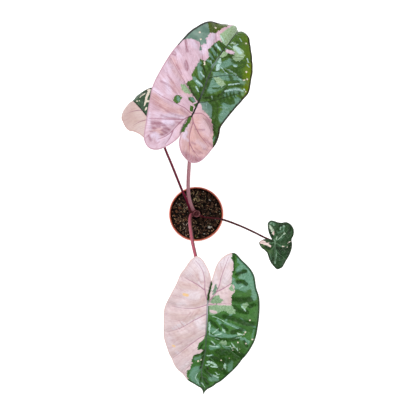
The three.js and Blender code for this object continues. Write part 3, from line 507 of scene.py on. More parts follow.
            (1, 0.9, (-7, 60), (-7, 40)), (1.3, 0.9, (-24, 83), (-8, 83)),
            (1.2, 0.9, (-44, 128), (-40, 116)), (1, 0.8, (-54, 62), (-64, 58)),
            (1, 0.8, (-62, -40), (-56, -34)), (1.2, 0.7, (-34, 142), (-28, 146)),
            (1.3, 1, (-17, 79), (-10, 74)), (1.1, 1, (-45, 78), (-38, 80)),
            (1.3, 1, (-66, 54), (-58, 52)), (1.2, 1, (-2, 184), (3, 174)),
            (0.9, 0.8, (-9, 24), (-22, 27), (-40, 35), (-58, 43)),
            (0.9, 1, (8, 178), (13, 164), (8, 150)), (0.9, 1, (-5, 36), (-5, 52)),
            (0.9, 1, (-31, 143), (-26, 138)), (0.8, 1, (-24, 68), (-14, 69)),
            (1, 1, (-41, 126), (-39, 120)), (1.3, 1, (-55, 80), (-48, 71)),
            (1, 0.9, (-50, 84), (-46, 76)), (1.4, 0.9, (-60, 86), (-58, 80)),
            (1.6, 0.8, (-35, 50), (-31, 48)), (2.4, 0.8, (-24, 146), (-32, 150)),
        ],
        crease_shade=[
            (1.3, 1, (24, 18), (31, 30)), (1.3, 1, (30, 20), (40, 34)),
            (1.2, 1, (42, 52), (48, 42), (52, 38)), (1.1, 1, (50, 58), (56, 48)),
            (1.1, 1, (54, 60), (62, 52)), (1.6, 1, (14, 14), (22, 26)),
            (1.3, 1, (20, -30), (30, -40)), (1.4, 1, (12, -34), (18, -46)),
            (1.2, 1, (44, 84), (54, 92)), (1.2, 1, (52, 78), (60, 88)),
            (1.5, 1, (46, -32), (32, -30)), (1.2, 1, (-24, -60), (-20, -76)),
            (1.2, 1, (26, 84), (38, 92)),
        ],
        seam_shadow=[
            (1.7, 1, (0, -2), (-0.8, -14), (-3, -28), (-5.4, -43)),
            (0.9, 0.85, (1, 4), (1, 30), (1, 62)), (1.2, 0.7, (-9, -10), (-3, -2)),
            (1.9, 0.95, (2, 135), (3.5, 139)), (1.6, 0.9, (-12, 132), (-11, 136)),
            (1.3, 0.9, (-14, 119), (-10, 118)), (1.2, 0.9, (-37, 112), (-37, 116)),
            (1.2, 0.6, (2, 98), (3, 118), (1.5, 132)), (0.9, 0.6, (4, 182), (3, 168), (1, 150)),
            (1, 0.6, (-58, -46), (-50, -48)), (1, 0.5, (-66, -64), (-54, -60)),
        ],
    ),
    "west": dict(
        warm=[(40, 0.5, (-20, 20), (-20, 60))],
        blush=[
            (12, 0.25, (-40, 66), (-20, 74)), (3, 0.35, (-24, 22), (-34, 30)),
            (3, 0.3, (-12, 50), (-26, 60)),
        ],
        chalk_sheen=[(14, 0.7, (-30, 14), (-22, 30)), (8, 0.35, (-12, 40), (-8, 60))],
        furrow_shade=[(3, 1, (8, 34), (20, 44)), (3, 1, (26, 84), (40, 78)), (3, 1, (6, 92), (16, 90))],
        sheen=[
            (3, 0.6, (12, 84), (30, 88)), (2.5, 0.6, (30, 52), (44, 58)),
            (2, 0.6, (10, 66), (6, 84)),
        ],
        crease_shade=[
            (1.4, 1, (-10, 36), (-26, 50)), (1.4, 1, (-8, 62), (-20, 74)),
            (1.3, 1, (-14, 24), (-26, 30)),
        ],
        seam_shadow=[(0.9, 0.8, (0, 28), (0, 108))],
    ),
    "east": dict(
        chalk_sheen=[(2.5, 0.6, (26, -2), (14, 3))],
        tint=[(8, 0.5, (24, 10), (14, 20))],
        furrow_shade=[
            (4, 1, (-4, 14), (-16, 15), (-30, 14)), (3, 1, (12, 14), (20, 9)),
            (3, 1, (-26, 24), (-32, 4)), (3, 1, (6, -14), (10, -22)),
            (3.4, 0.9, (-28, -20), (-32, -32)), (3, 0.9, (-10, 20), (-12, 34)),
            (2.2, 0.9, (6, 0), (10, -4)), (2.4, 0.8, (4, 36), (7, 46)),
            (3, 0.8, (-10, -34), (-24, -38)),
        ],
        sheen=[
            (4, 1, (2, -38), (8, -44), (12, -40)), (2.2, 0.9, (-6, -20), (-18, -26), (-14, -34)),
            (1.6, 0.8, (-3, 16), (-2, 34), (0, 46)), (1.4, 0.6, (-10, 18), (-9, 40)),
            (1.8, 0.8, (-8, 6), (-16, 12)), (2, 0.7, (-10, -4), (-18, -12)),
            (3, 0.6, (12, 24), (8, 38)), (2.6, 0.5, (-17, 46), (-8, 56)),
            (2, 0.8, (25, 12), (28, 7)),
        ],
        glint=[
            (1.4, 1, (0, 43), (1, 48)), (0.8, 0.8, (-3, 24), (-2, 36)),
            (0.7, 1, (-5, -4), (-12, -11), (-20, -19)), (0.7, 0.9, (-3, -4), (-5, -13)),
            (0.8, 1, (0, -2), (6, -9)), (2.2, 1, (-18, -34), (-19, -33)),
            (1.5, 1, (-11, -27), (-12, -31)), (1, 0.7, (-19, -22), (-17, -27)),
            (1, 0.6, (-4, -25), (-5, -23)), (2, 0.7, (7, -42), (10, -40)),
            (1.8, 0.6, (2, -35), (3, -38)),
        ],
        seam_shadow=[(1, 0.6, (-30, 2), (-34, 8)), (3, 0.4, (-29, 6), (-32, 13))],
    ),
}

# How far beside a vein its groove reaches, and how wide the valley over the midrib is rounded.
GROOVE_REACH = 8
VALLEY_ROUND = 4
# How much of its full rise a fold has where it starts.
FOLD_START = 0.4


def along_arc(y, z, slope, bend, length):
    """Moves from (y, z) along circular arcs; slope is the fall angle in radians."""
    end = slope + bend * length
    return (
        y + (np.sin(end) - np.sin(slope)) / bend,
        z + (np.cos(end) - np.cos(slope)) / bend,
        end,
    )


def spine(blade, t, s):
    """How far forward and up the blade has come at s, and its fall angle there."""
    per_mm = math.radians(1) / 100
    lobe_arch, arch, hook = (blade[key] * per_mm for key in ("lobe_arch", "arch", "hook"))
    start = math.radians(blade["pitch"])
    lobe = along_arc(0, 0, start, lobe_arch, np.minimum(s, 0))
    hook_from = blade["hook_from"] + blade["skew"] * t
    straight = along_arc(0, 0, start, arch, np.minimum(np.maximum(s, 0), hook_from))
    hooked = along_arc(*straight, arch + hook, np.maximum(s - hook_from, 0))
    return tuple(np.where(s < 0, a, b) for a, b in zip(lobe, hooked))


def to_polyline(flat, line):
    """Distance of flat points to a polyline, and how far along it the nearest point lies."""
    best = np.full(len(flat), FAR)
    along = np.zeros(len(flat))
    done = 0.0
    for a, b in zip(line[:-1], line[1:]):
        step = b - a
        length = math.hypot(*step)
        share = np.clip(((flat - a) @ step) / length**2, 0, 1)
        distance = np.hypot(*(flat - a - share[:, None] * step).T)
        nearer = distance < best
        best = np.where(nearer, distance, best)
        along = np.where(nearer, done + share * length, along)
        done += length
    return best, along / done


def by_side(value, t):
    """One number for the whole blade, or one for each half of it, given for each point."""
    return np.broadcast_to(value, 2)[np.where(t < 0, 0, 1)]


def lift(blade, flat):
    """How far the blade stands above its plain arch: valley, droop, puffs and folds."""
    t = flat[:, 0]
    valley = np.hypot(t, VALLEY_ROUND) - VALLEY_ROUND
    height = by_side(blade["valley"], t) * valley - by_side(blade["droop"], t) * t * t
    near = np.full(len(flat), FAR)
    for vein in blade["veins"].values():
        near = np.minimum(near, to_polyline(flat, np.array(vein, float))[0])
    height += blade["puff"] * (1 - np.exp(-((near / GROOVE_REACH) ** 2)))
    for start, end, width, rise in blade["folds"]:
        distance, along = to_polyline(flat, np.array([start, end], float))
        share = FOLD_START + (1 - FOLD_START) * along
        height += rise * share * np.exp(-((distance / width) ** 2))
    return height


def surface(blade, flat):
    """Places of flat points on the middle of the bent blade."""
    t, s = flat.T
    ahead, over, slope = spine(blade, t, s)
    height = lift(blade, flat)
    roll = math.radians(blade["roll"])
    shift, at, width = blade["bow"]
    across = shift * np.exp(-(((s - at) / width) ** 2))
    right = across + t * math.cos(roll) + height * math.sin(roll)
    rise = height * math.cos(roll) - t * math.sin(roll)
    forward = ahead + rise * np.sin(slope)
    heading = math.radians(blade["heading"])
    x = right * math.sin(heading) + forward * math.cos(heading)
    y = -right * math.cos(heading) + forward * math.sin(heading)
    z = over + rise * np.cos(slope)
    return np.array(blade["junction"]) + np.stack([x, y, z], axis=1)


# Radius of the rib below a vein, and half the width of its line above, each at its two ends.
RIB_RADII = {"midrib": (2.3, 0.8), "basal": (1.4, 0.6), "lateral": (1.0, 0.5)}
VEIN_WIDTHS = {"midrib": (1.55, 0.65), "basal": (1.3, 0.45), "lateral": (1.05, 0.35)}
# Places of the basal vein and its branches before and after a side's numbered veins.
BASAL_ORDER = {"Basal": "", "BasalOut": "0", "BasalIn": "9"}
# How many small veins lie between two main ones.
SMALL_VEINS = 4
# Half the blade's thickness, and the share of it that is missing at the margin.
HALF_THICKNESS = 0.38
MARGIN_THINNING = 0.55
# A patch's edge is felt this far on either side, in mm.
PATCH_REACH = 12.0
SHARP_FOLD = math.radians(55)


def hermite(start, end, leaving, arriving, share):
    """Points of a cubic between two points, given its directions at both."""
    cubic = 2 * start - 2 * end + leaving + arriving
    square = 3 * end - 3 * start - 2 * leaving - arriving
    return cubic * share**3 + square * share**2 + leaving * share + start


def catmull_rom(points, w):
    """Points of a uniform spline at the parameters w, counted in points."""
    points = np.asarray(points, float)
    last = len(points) - 1
    k = np.clip(w.astype(int), 0, last - 1)
    f = (w - k)[:, None]
    p0, p1 = points[np.maximum(k - 1, 0)], points[k]
    p2, p3 = points[k + 1], points[np.minimum(k + 2, last)]
    return hermite(p1, p2, (p2 - p0) / 2, (p3 - p1) / 2, f)


def travelled(line):
    """How far along a polyline each of its points lies."""
    steps = np.linalg.norm(np.diff(line, axis=0), axis=1)
    return np.concatenate([[0], np.cumsum(steps)])


def evenly(line, spacing):
    """A polyline cut again into nearly equal steps."""
    way = travelled(line)
    wanted = np.linspace(0, way[-1], max(3, round(way[-1] / spacing) + 1))
    return np.stack([np.interp(wanted, way, column) for column in line.T], axis=1)


def smooth_line(points, spacing):
    fine = np.linspace(0, len(points) - 1, 40 * len(points))
    return evenly(catmull_rom(points, fine), spacing)


def inside(flat, loop):
    """Which flat points lie inside a closed loop."""
    hits = np.zeros(len(flat), bool)
    t, s = flat.T
    for (t0, s0), (t1, s1) in zip(loop, np.roll(loop, -1, axis=0)):
        if s0 != s1:
            crosses = (s0 > s) != (s1 > s)
            hits ^= crosses & (t < t0 + (s - s0) * (t1 - t0) / (s1 - s0))
    return hits


def signed_distance(flat, loop):
    """Distance to a closed loop, positive inside it."""
    loop = np.asarray(loop, float)
    distance = to_polyline(flat, np.vstack([loop, loop[:1]]))[0]
    return np.where(inside(flat, loop), distance, -distance)


def thinned(points, gap):
    """The points in order, leaving out each one nearer than gap to a point kept before it."""
    kept, cells = [], {}
    around = [(a, b) for a in (-1, 0, 1) for b in (-1, 0, 1)]
    for point in points:
        i, j = int(point[0] // gap), int(point[1] // gap)
        near = [other for a, b in around for other in cells.get((i + a, j + b), ())]
        if all(math.dist(point, other) >= gap for other in near):
            kept.append(point)
            cells.setdefault((i, j), []).append(point)
    return kept


def vein_kind(name):
    if name == "midrib":
        return name
    return "basal" if "Basal" in name else "lateral"


def tapered(ends, along):
    """A measure that changes evenly from one end of a vein to the other."""
    return ends[0] + (ends[1] - ends[0]) * along


def filled(loop, points):
    """Flat points and triangles that fill the loop, which comes first among the points."""
    made = geometry.delaunay_2d_cdt([Vector(p) for p in points], [], [list(range(loop))], 1, 1e-6)
    return np.array([tuple(v) for v in made[0]]), np.array(made[2])


def flat_mesh(blade, spacing):
    """Flat points and triangles of a blade, with rows of points along its veins, and its margin."""
    left = smooth_line(blade["left"], spacing)
    right = smooth_line(blade["right"], spacing)[::-1]
    margin = np.vstack([left, right[1:-1]])
    rows = []
    for name, line in blade["curves"].items():
        tangent = np.gradient(line, axis=0)
        tangent /= np.linalg.norm(tangent, axis=1)[:, None]
        across = tangent[:, ::-1] * (-1, 1) * max(RIB_RADII[vein_kind(name)][0], 1.1)
        rows += [line + across * share for share in (0, 0.5, -0.5, 1, -1)]
    low, high = margin.min(0), margin.max(0)
    for i, s in enumerate(np.arange(low[1], high[1], spacing * 0.866)):
        t = np.arange(low[0] + (i % 2) * spacing / 2, high[0], spacing)
        rows.append(np.stack([t, np.full(len(t), s)], axis=1))
    fill = np.vstack(rows)
    fill = fill[signed_distance(fill, margin) > spacing * 0.4]
    points = [tuple(p) for p in margin] + thinned([tuple(p) for p in fill], spacing * 0.5)
    return *filled(len(margin), points), margin


def ordered_veins(curves, side):
    """The names of one side's veins, in the order in which their bands are counted."""
    names = [name for name in curves if name.startswith(side)]
    return sorted(names, key=lambda name: BASAL_ORDER.get(name[len(side):], name[-1]))


def vein_fields(blade, flat):
    """How each flat point lies to the veins.

    near: distance to the nearest main vein. line: the same, counted in that vein's half widths.
    run: how far along it, in mm. midrib: distance to the midrib. rib: the same, counted in the
    half widths of the midrib's paler line. tone: how light that line is. bands: a number that
    grows by one from each main vein to the next, so that its level lines run as small veins do.
    """
    count = len(flat)
    near, line, run = np.full(count, FAR), np.full(count, FAR), np.zeros(count)
    distances = {}
    for i, (name, curve) in enumerate(blade["curves"].items()):
        distance, along = to_polyline(flat, curve)
        distances[name] = distance
        line = np.minimum(line, distance / tapered(VEIN_WIDTHS[vein_kind(name)], along))
        run = np.where(distance < near, along * travelled(curve)[-1] + 17.3 * i, run)
        near = np.minimum(near, distance)
    bands = np.zeros(count)
    for side, mine in (("left", flat[:, 0] < 0), ("right", flat[:, 0] >= 0)):
        names = ordered_veins(blade["curves"], side)
        last = len(names) - 1
        stack = np.stack([distances[name][mine] for name in names])
        first = stack.argmin(0)
        columns = np.arange(stack.shape[1])
        below = np.where(first > 0, stack[np.maximum(first - 1, 0), columns], FAR)
        above = np.where(first < last, stack[np.minimum(first + 1, last), columns], FAR)
        nearest = stack[first, columns]
        share = nearest / np.maximum(nearest + np.minimum(below, above), 1e-6)
        bands[mine] = first + np.where(above < below, share, -share)
    share = np.clip(flat[:, 1] / blade["curves"]["midrib"][-1][1], 0, 1)
    midrib = distances["midrib"]
    rib = midrib / (VEIN_WIDTHS["midrib"][0] * (1 - 0.6 * share))
    tone = np.interp(flat[:, 1], *zip(*blade["rib_tone"]))
    return dict(near=near, line=line, run=run, midrib=midrib, rib=rib, tone=tone, bands=bands)


def mark_fields(name, flat):
    """How strongly each flat point takes each kind of mark, down to 0 well beside its line."""
    fields = {}
    for kind in MARK_KINDS:
        best = np.zeros(len(flat))
        for width, strength, *line in MARKS[name].get(kind, ()):
            points = smooth_line(line, 2) if len(line) > 2 else np.array(line, float)
            distance = to_polyline(flat, points)[0]
            best = np.maximum(best, strength * np.exp(-((distance / width) ** 3)))
        fields[kind] = best
    return fields


def patch_fields(name, flat):
    """How far inside each kind of patch each flat point lies."""
    fields = {}
    for kind in PATCH_KINDS:
        best = np.full(len(flat), -PATCH_REACH)
        for polygon in PATCHES[name].get(kind, ()):
            best = np.maximum(best, signed_distance(flat, polygon))
        fields[kind] = np.clip(best, -PATCH_REACH, PATCH_REACH)
    fleck = np.full(len(flat), -PATCH_REACH)
    for t, s, radius in PATCHES[name]["flecks"]:
        fleck = np.maximum(fleck, radius - np.hypot(flat[:, 0] - t, flat[:, 1] - s))
    fields["fleck"] = fleck
    return fields


def noise_at(flat, scale, layer):
    return np.array([noise.noise(Vector((t * scale, s * scale, layer))) for t, s in flat])


def relief(blade, flat, fields, edge):
    """Fine height of the upper skin: small veins, quilting beside the main ones, and crumples."""
    on_green = np.clip(0.5 + fields["green"] / 8, 0, 1)
    amount = np.interp(on_green, (0, 1), blade["quilting"])
    from_vein = fields["near"]
    small = np.cos(TURN * SMALL_VEINS * fields["bands"]) * (1 - np.exp(-from_vein / 4))
    broad, middle, fine = (noise_at(flat, *at) for at in ((0.05, 3.1), (0.11, 6.4), (0.28, 9.7)))
    wave = np.sin(fields["run"] * TURN / 8.5 + 0.25 * from_vein + 2.2 * middle)
    quilt = wave * np.exp(-(((from_vein - 6) / 5) ** 2)) * np.clip(0.7 + broad, 0, 2)
    crumple = 1.4 * broad + 1.1 * middle + 0.5 * fine
    fade = 1 - np.exp(-edge / 6)
    channel = -0.35 * np.exp(-((fields["line"] / 1.6) ** 2))
    furrows = 1.1 * fields["glint"] - 1.5 * fields["furrow_shade"] - 0.55 * fields["crease_shade"]
    furrows += 0.7 * fields["chalk_sheen"] - 0.4 * fields["blush"]
    return fade * (amount * (0.16 * small + 0.8 * quilt + crumple) + furrows) + channel


def rib_depth(blade, flat):
    """How far the ribs under the veins stand out below the blade."""
    depth = np.zeros(len(flat))
    for name, curve in blade["curves"].items():
        distance, along = to_polyline(flat, curve)
        radius = tapered(RIB_RADII[vein_kind(name)], along)
        round_part = np.sqrt(np.clip(1 - (distance / (1.15 * radius)) ** 2, 0, 1))
        depth = np.maximum(depth, 1.25 * radius * round_part)
    return depth


def skin_normals(blade, flat, step=0.8):
    """Directions square to the bent blade, from places a step away on each side."""
    t_step, s_step = np.array([step, 0]), np.array([0, step])
    across = surface(blade, flat + t_step) - surface(blade, flat - t_step)
    along = surface(blade, flat + s_step) - surface(blade, flat - s_step)
    normal = np.cross(across, along)
    return normal / np.linalg.norm(normal, axis=1)[:, None]


def tube_faces(rows, sides):
    """Faces of a closed tube, whose points are its rings and then the middles of its ends."""
    a = np.arange(rows - 1)[:, None] * sides + np.arange(sides)
    b = np.arange(rows - 1)[:, None] * sides + (np.arange(sides) + 1) % sides
    faces = np.stack([a, b, b + sides, a + sides], axis=-1).reshape(-1, 4).tolist()
    foot, top, last_ring = rows * sides, rows * sides + 1, (rows - 1) * sides
    for k in range(sides):
        after = (k + 1) % sides
        faces += [[foot, after, k], [top, last_ring + k, last_ring + after]]
    return faces


def mesh_object(name, vertices_mm, faces, materials, face_materials=None, smooth=True):
    """A mesh object from points in mm, with smooth shading except across sharp folds."""
    mesh = bpy.data.meshes.new(name)
    points = (np.asarray(vertices_mm) * MM).tolist()
    mesh.from_pydata(points, [], [list(map(int, f)) for f in faces])
    for material in materials:
        mesh.materials.append(material)
    if face_materials is not None:
        mesh.polygons.foreach_set("material_index", np.asarray(face_materials, np.int32))
    if smooth:
        mesh.polygons.foreach_set("use_smooth", np.ones(len(mesh.polygons), bool))
        mesh.set_sharp_from_angle(angle=SHARP_FOLD)
    mesh.update()
    made = bpy.data.objects.new(name, mesh)
    bpy.context.scene.collection.objects.link(made)
    return made


def write_numbers(made, name, values):
    """A number or a vector for each vertex, for the shaders to read."""
    values = np.asarray(values, np.float32)
    kind = "FLOAT" if values.ndim == 1 else "FLOAT_VECTOR"
    layer = made.data.attributes.new(name, kind, "POINT")
    layer.data.foreach_set("value" if values.ndim == 1 else "vector", values.ravel())


def settle(made, node):
    """The piece stands for a CAD node, which is hidden, and rides with the root."""
    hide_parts(node)
    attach(made, "root")


def build_blade(name, spacing):
    """A blade of two skins and a rim. Its veins are cut the same however coarse its mesh is."""
    blade = BLADES[name]
    blade["curves"] = {key: smooth_line(line, spacing) for key, line in blade["veins"].items()}
    flat, triangles, margin = flat_mesh(blade, spacing)
    edge = to_polyline(flat, np.vstack([margin, margin[:1]]))[0]
    fields = vein_fields(blade, flat)
    fields.update(mark_fields(name, flat))
    fields.update(patch_fields(name, flat))
    normal = skin_normals(blade, flat)
    middle = surface(blade, flat)
    thin = HALF_THICKNESS * (1 - MARGIN_THINNING * np.exp(-edge / 1.2))[:, None]
    bumps = relief(blade, flat, fields, edge)[:, None]
    upper = middle + normal * (thin + bumps)
    lower = middle + normal * (bumps - thin - rib_depth(blade, flat)[:, None])
    count = len(flat)
    below = triangles[:, ::-1] + count
    pairs = np.vstack([triangles[:, [0, 1]], triangles[:, [1, 2]], triangles[:, [2, 0]]])
    directed = {(int(a), int(b)) for a, b in pairs}
    open_edges = [(a, b) for a, b in directed if (b, a) not in directed]
    rim = [(b, a, a + count, b + count) for a, b in sorted(open_edges)]
    faces = triangles.tolist() + below.tolist() + rim
    skins = [0] * len(triangles) + [1] * len(below) + [0] * len(rim)
    materials = [upper_skin(name), under_skin(name)]
    made = mesh_object("leaf_" + name, np.vstack([upper, lower]), faces, materials, skins)
    fields["edge"] = edge
    for key, values in fields.items():
        write_numbers(made, key, np.tile(values, 2))
    place = np.stack([flat[:, 0] / 10, flat[:, 1] / 10, np.zeros(count)], axis=1)
    write_numbers(made, "flat", np.tile(place, (2, 1)))
    settle(made, "blade_" + name)


# How much brighter a surface is seen in the studio's light than it gives back, and the most that
# any surface gives back.
EXPOSURE = 1.12
WHITEST = 0.92


def linear(colour):
    """A colour given as seen on a screen, 0 to 255, as the light a surface gives back."""
    shares = [c / 255 for c in colour]
    bright = [c / 12.92 if c <= 0.04045 else ((c + 0.055) / 1.055) ** 2.4 for c in shares]
    return (*(min(c / EXPOSURE, WHITEST) for c in bright), 1)


class Shader:
    """A material in the making. Each method adds nodes and gives back their output."""

    def __init__(self, name, **uniform):
        self.material = bpy.data.materials.new(name)
        self.material.use_nodes = True
        self.tree = self.material.node_tree
        self.skin = self.tree.nodes["Principled BSDF"]
        for socket, value in uniform.items():
            self.feed(self.skin.inputs[socket.replace("_", " ")], value)

    def node(self, kind, inputs, output=0, **settings):
        made = self.tree.nodes.new(kind)
        for key, value in settings.items():
            setattr(made, key, value)
        for key, value in inputs.items():
            self.feed(made.inputs[key], value)
        return made.outputs[output]

    def feed(self, socket, value):
        if isinstance(value, bpy.types.NodeSocket):
            self.tree.links.new(value, socket)
        else:
            socket.default_value = value

    def number(self, name):
        return self.node("ShaderNodeAttribute", {}, "Fac", attribute_name=name)

    def vector(self, name):
        return self.node("ShaderNodeAttribute", {}, "Vector", attribute_name=name)

    def place(self):
        """Where a point of the surface is, in cm."""
        position = self.node("ShaderNodeNewGeometry", {}, "Position")
        return self.node("ShaderNodeVectorMath", {0: position, 3: 100}, operation="SCALE")

    def height_of(self, place):
        return self.node("ShaderNodeSeparateXYZ", {0: place}, 2)

    def maths(self, operation, *values):
        return self.node("ShaderNodeMath", dict(enumerate(values)), operation=operation)

    def sum(self, a, b):
        return self.maths("ADD", a, b)

    def times(self, a, b):
        return self.maths("MULTIPLY", a, b)

    def rest(self, share):
        """What a share from 0 to 1 leaves."""
        return self.sum(1, self.times(share, -1))

    def scaled(self, value, low, high):
        """A value from 0 to 1, spread from low to high."""
        return self.maths("MULTIPLY_ADD", value, high - low, low)

    def step(self, value, low, high):
        """Rises smoothly from 0 at low to 1 at high, or falls if low is the larger."""
        inputs = {"Value": value, "From Min": low, "From Max": high}
        return self.node("ShaderNodeMapRange", inputs, interpolation_type="SMOOTHSTEP")

    def noise(self, place, scale, detail=3, roughness=0.55):
        inputs = {"Vector": place, "Scale": scale, "Detail": detail, "Roughness": roughness}
        return self.node("ShaderNodeTexNoise", inputs)

    def cells(self, place, scale):
        """A random value for each small cell of the surface."""
        return self.node("ShaderNodeTexVoronoi", {"Vector": place, "Scale": scale}, "Color")

    def mix(self, share, a, b):
        colours = [linear(c) if isinstance(c, tuple) else c for c in (a, b)]
        inputs = {0: share, 6: colours[0], 7: colours[1]}
        return self.node("ShaderNodeMix", inputs, 2, data_type="RGBA")

    def wash(self, colour, share, strength, other):
        """The colour with another laid thinly over it."""
        return self.mix(self.times(share, strength), colour, other)

    def stretched(self, place, factors):
        return self.node("ShaderNodeVectorMath", {0: place, 1: factors}, operation="MULTIPLY")

    def finish(self, colour, roughness, height, depth):
        """depth is how far the height's full range stands out, in mm."""
        bump = {"Height": height, "Distance": depth * MM, "Strength": 1.0}
        self.feed(self.skin.inputs["Base Color"], colour)
        self.feed(self.skin.inputs["Roughness"], roughness)
        self.feed(self.skin.inputs["Normal"], self.node("ShaderNodeBump", bump))
        return self.material


# Colours of each blade's upper skin, as seen on a screen: the two or three tones of a ground, and
# one tone for most marks. deep is painted shade, sheen a painted silvery sheen, glint painted
# highlights and chalk a pale tone with painted sheen. veins and margin are given as over pink and
# over green, midrib as at its darkest and its lightest.
LEAF_LOOKS = {
    "north": dict(
        pink=[(232, 200, 214), (214, 180, 194)],
        warm=(218, 168, 152),
        blush=(150, 94, 108),
        chalk_sheen=(242, 228, 250),
        green=[(62, 98, 28), (82, 116, 34), (42, 70, 14)],
        furrow_shade=(54, 84, 32),
        sheen=[(138, 174, 162), (84, 128, 106)],
        glint=(196, 226, 224),
        tint=(102, 122, 0),
        grey=[(98, 128, 114), (130, 154, 142)],
        olive=[(64, 82, 20), (90, 106, 44)],
        pale=[(142, 166, 122), (166, 192, 160)],
        veins=[(156, 104, 122), (44, 58, 34)],
        midrib=[(38, 40, 36), (136, 154, 146)],
        margin=[(190, 150, 164), (40, 24, 26)],
    ),
    "south": dict(
        pink=[(231, 210, 210), (221, 198, 199)],
        warm=(208, 176, 162),
        blush=(186, 144, 148),
        chalk_sheen=(242, 234, 242),
        green=[(56, 104, 36), (78, 128, 56), (36, 80, 18)],
        furrow_shade=(26, 62, 6),
        sheen=[(134, 176, 158), (86, 136, 108)],
        glint=(196, 230, 212),
        tint=(42, 82, 10),
        grey=[(110, 142, 118), (130, 156, 134)],
        pale=[(122, 152, 114), (152, 184, 146)],
        veins=[(168, 116, 142), (84, 126, 78)],
        midrib=[(44, 78, 46), (164, 160, 166)],
        margin=[(222, 194, 190), (36, 58, 30)],
    ),
    "west": dict(
        pink=[(220, 194, 192), (206, 178, 173)],
        warm=(212, 184, 168),
        blush=(194, 156, 158),
        chalk_sheen=(230, 216, 212),
        green=[(54, 80, 58), (74, 100, 76), (38, 58, 40)],
        furrow_shade=(34, 54, 36),
        sheen=[(90, 116, 90), (72, 98, 72)],
        glint=(150, 170, 154),
        pale=[(146, 170, 140), (162, 188, 158)],
        veins=[(160, 118, 130), (54, 76, 58)],
        midrib=[(48, 56, 44), (150, 106, 120)],
        margin=[(206, 170, 164), (44, 52, 40)],
    ),
    "east": dict(
        pink=[(244, 222, 216), (232, 204, 196)],
        blush=(200, 170, 168),
        chalk_sheen=(246, 232, 228),
        green=[(30, 62, 28), (48, 84, 46), (20, 46, 18)],
        furrow_shade=(14, 38, 12),
        sheen=[(98, 136, 110), (62, 102, 72)],
        glint=(158, 194, 168),
        tint=(90, 122, 60),
        pale=[(176, 196, 172), (198, 212, 190)],
        veins=[(190, 150, 150), (84, 120, 86)],
        midrib=[(44, 70, 44), (120, 150, 122)],
        margin=[(216, 184, 186), (34, 54, 30)],
    ),
}
CREAM = (228, 216, 198)
GOLD = (240, 200, 150)
# The colour of seam marks: partly painted shadow in gaps and folds, partly dark lines of the blade
# itself.
SEAM_SHADOW = (34, 30, 22)
UNDER_LOOK = dict(
    pink=[(218, 186, 190), (198, 158, 168)],
    green=[(92, 102, 82), (104, 88, 88)],
    veins=[(186, 134, 148), (140, 114, 104)],
)


def patch_masks(shader, flat):
    """How much of each colour shows, 0 to 1, with ragged edges to the patches."""
    broad = shader.scaled(shader.noise(flat, 1.4, 4, 0.65), -3.2, 3.2)
    teeth = shader.scaled(shader.cells(flat, 4.5), -1.3, 1.3)
    ragged = shader.times(shader.sum(broad, teeth), shader.step(shader.number("midrib"), 4, 14))
    softer = shader.times(ragged, 0.5)
    masks = {}
    for kind in PATCH_KINDS:
        shift = softer if kind in ("pink", "cream") else ragged
        masks[kind] = shader.step(shader.sum(shader.number(kind), shift), -0.25, 0.25)
    fleck = shader.sum(shader.number("fleck"), shader.times(teeth, 0.4))
    masks["fleck"] = shader.step(fleck, -0.3, 0.2)
    return masks


def small_veins(shader, flat):
    """The net of small veins between the main ones: 1 on a vein, 0 beside it."""
    wobble = shader.scaled(shader.noise(flat, 2.2, 2), -0.1, 0.1)
    bands = shader.times(shader.sum(shader.number("bands"), wobble), SMALL_VEINS)
    from_middle = shader.maths("ABSOLUTE", shader.sum(shader.maths("FRACT", bands), -0.5))
    fade = shader.step(shader.number("line"), 2, 8)
    return shader.times(shader.step(from_middle, 0.09, 0.0), fade)


def fibres(shader, flat):
    """Fine streaks, 0 to 1, that run as the small veins do."""
    across = shader.times(shader.number("bands"), 9)
    drift = shader.node("ShaderNodeCombineXYZ", {"X": across, "Y": shader.noise(flat, 0.8, 2)})
    along = shader.stretched(flat, (0.3, 0.3, 1))
    place = shader.node("ShaderNodeVectorMath", {0: drift, 1: along})
    return shader.step(shader.noise(place, 2.2, 4, 0.65), 0.34, 0.66)


def stroke(shader, name, uneven, low=0.2, high=0.8):
    """A mark on the skin with an uneven edge."""
    return shader.step(shader.sum(shader.number(name), uneven), low, high)


def pink_skin(shader, look, cloud, mottle, grain, net, streaks):
    """The pink ground with its tinted marks and painted sheen, its creases darkened with painted
    shade, and its veins.
    """
    pink = shader.mix(cloud, *look["pink"])
    # Chalk marks lay a pale tone with a painted sheen on the ridges; warm and blush marks tint the
    # ground.
    for kind, least in (("warm", 0.7), ("blush", 0.8), ("chalk_sheen", 0.6)):
        if kind in look:
            share = shader.times(shader.number(kind), shader.scaled(mottle, least, 1))
            pink = shader.mix(share, pink, look[kind])
    pink = shader.wash(pink, streaks, 0.2, look["blush"])
    pink = shader.wash(pink, shader.rest(streaks), 0.22, look["chalk_sheen"])
    pink = shader.wash(pink, grain, 0.2, look["blush"])
    # Crease marks darken the folds with painted shade.
    pink = shader.wash(pink, stroke(shader, "crease_shade", 0.0), 0.36, look["blush"])
    return shader.wash(pink, net, 0.25, look["veins"][0])


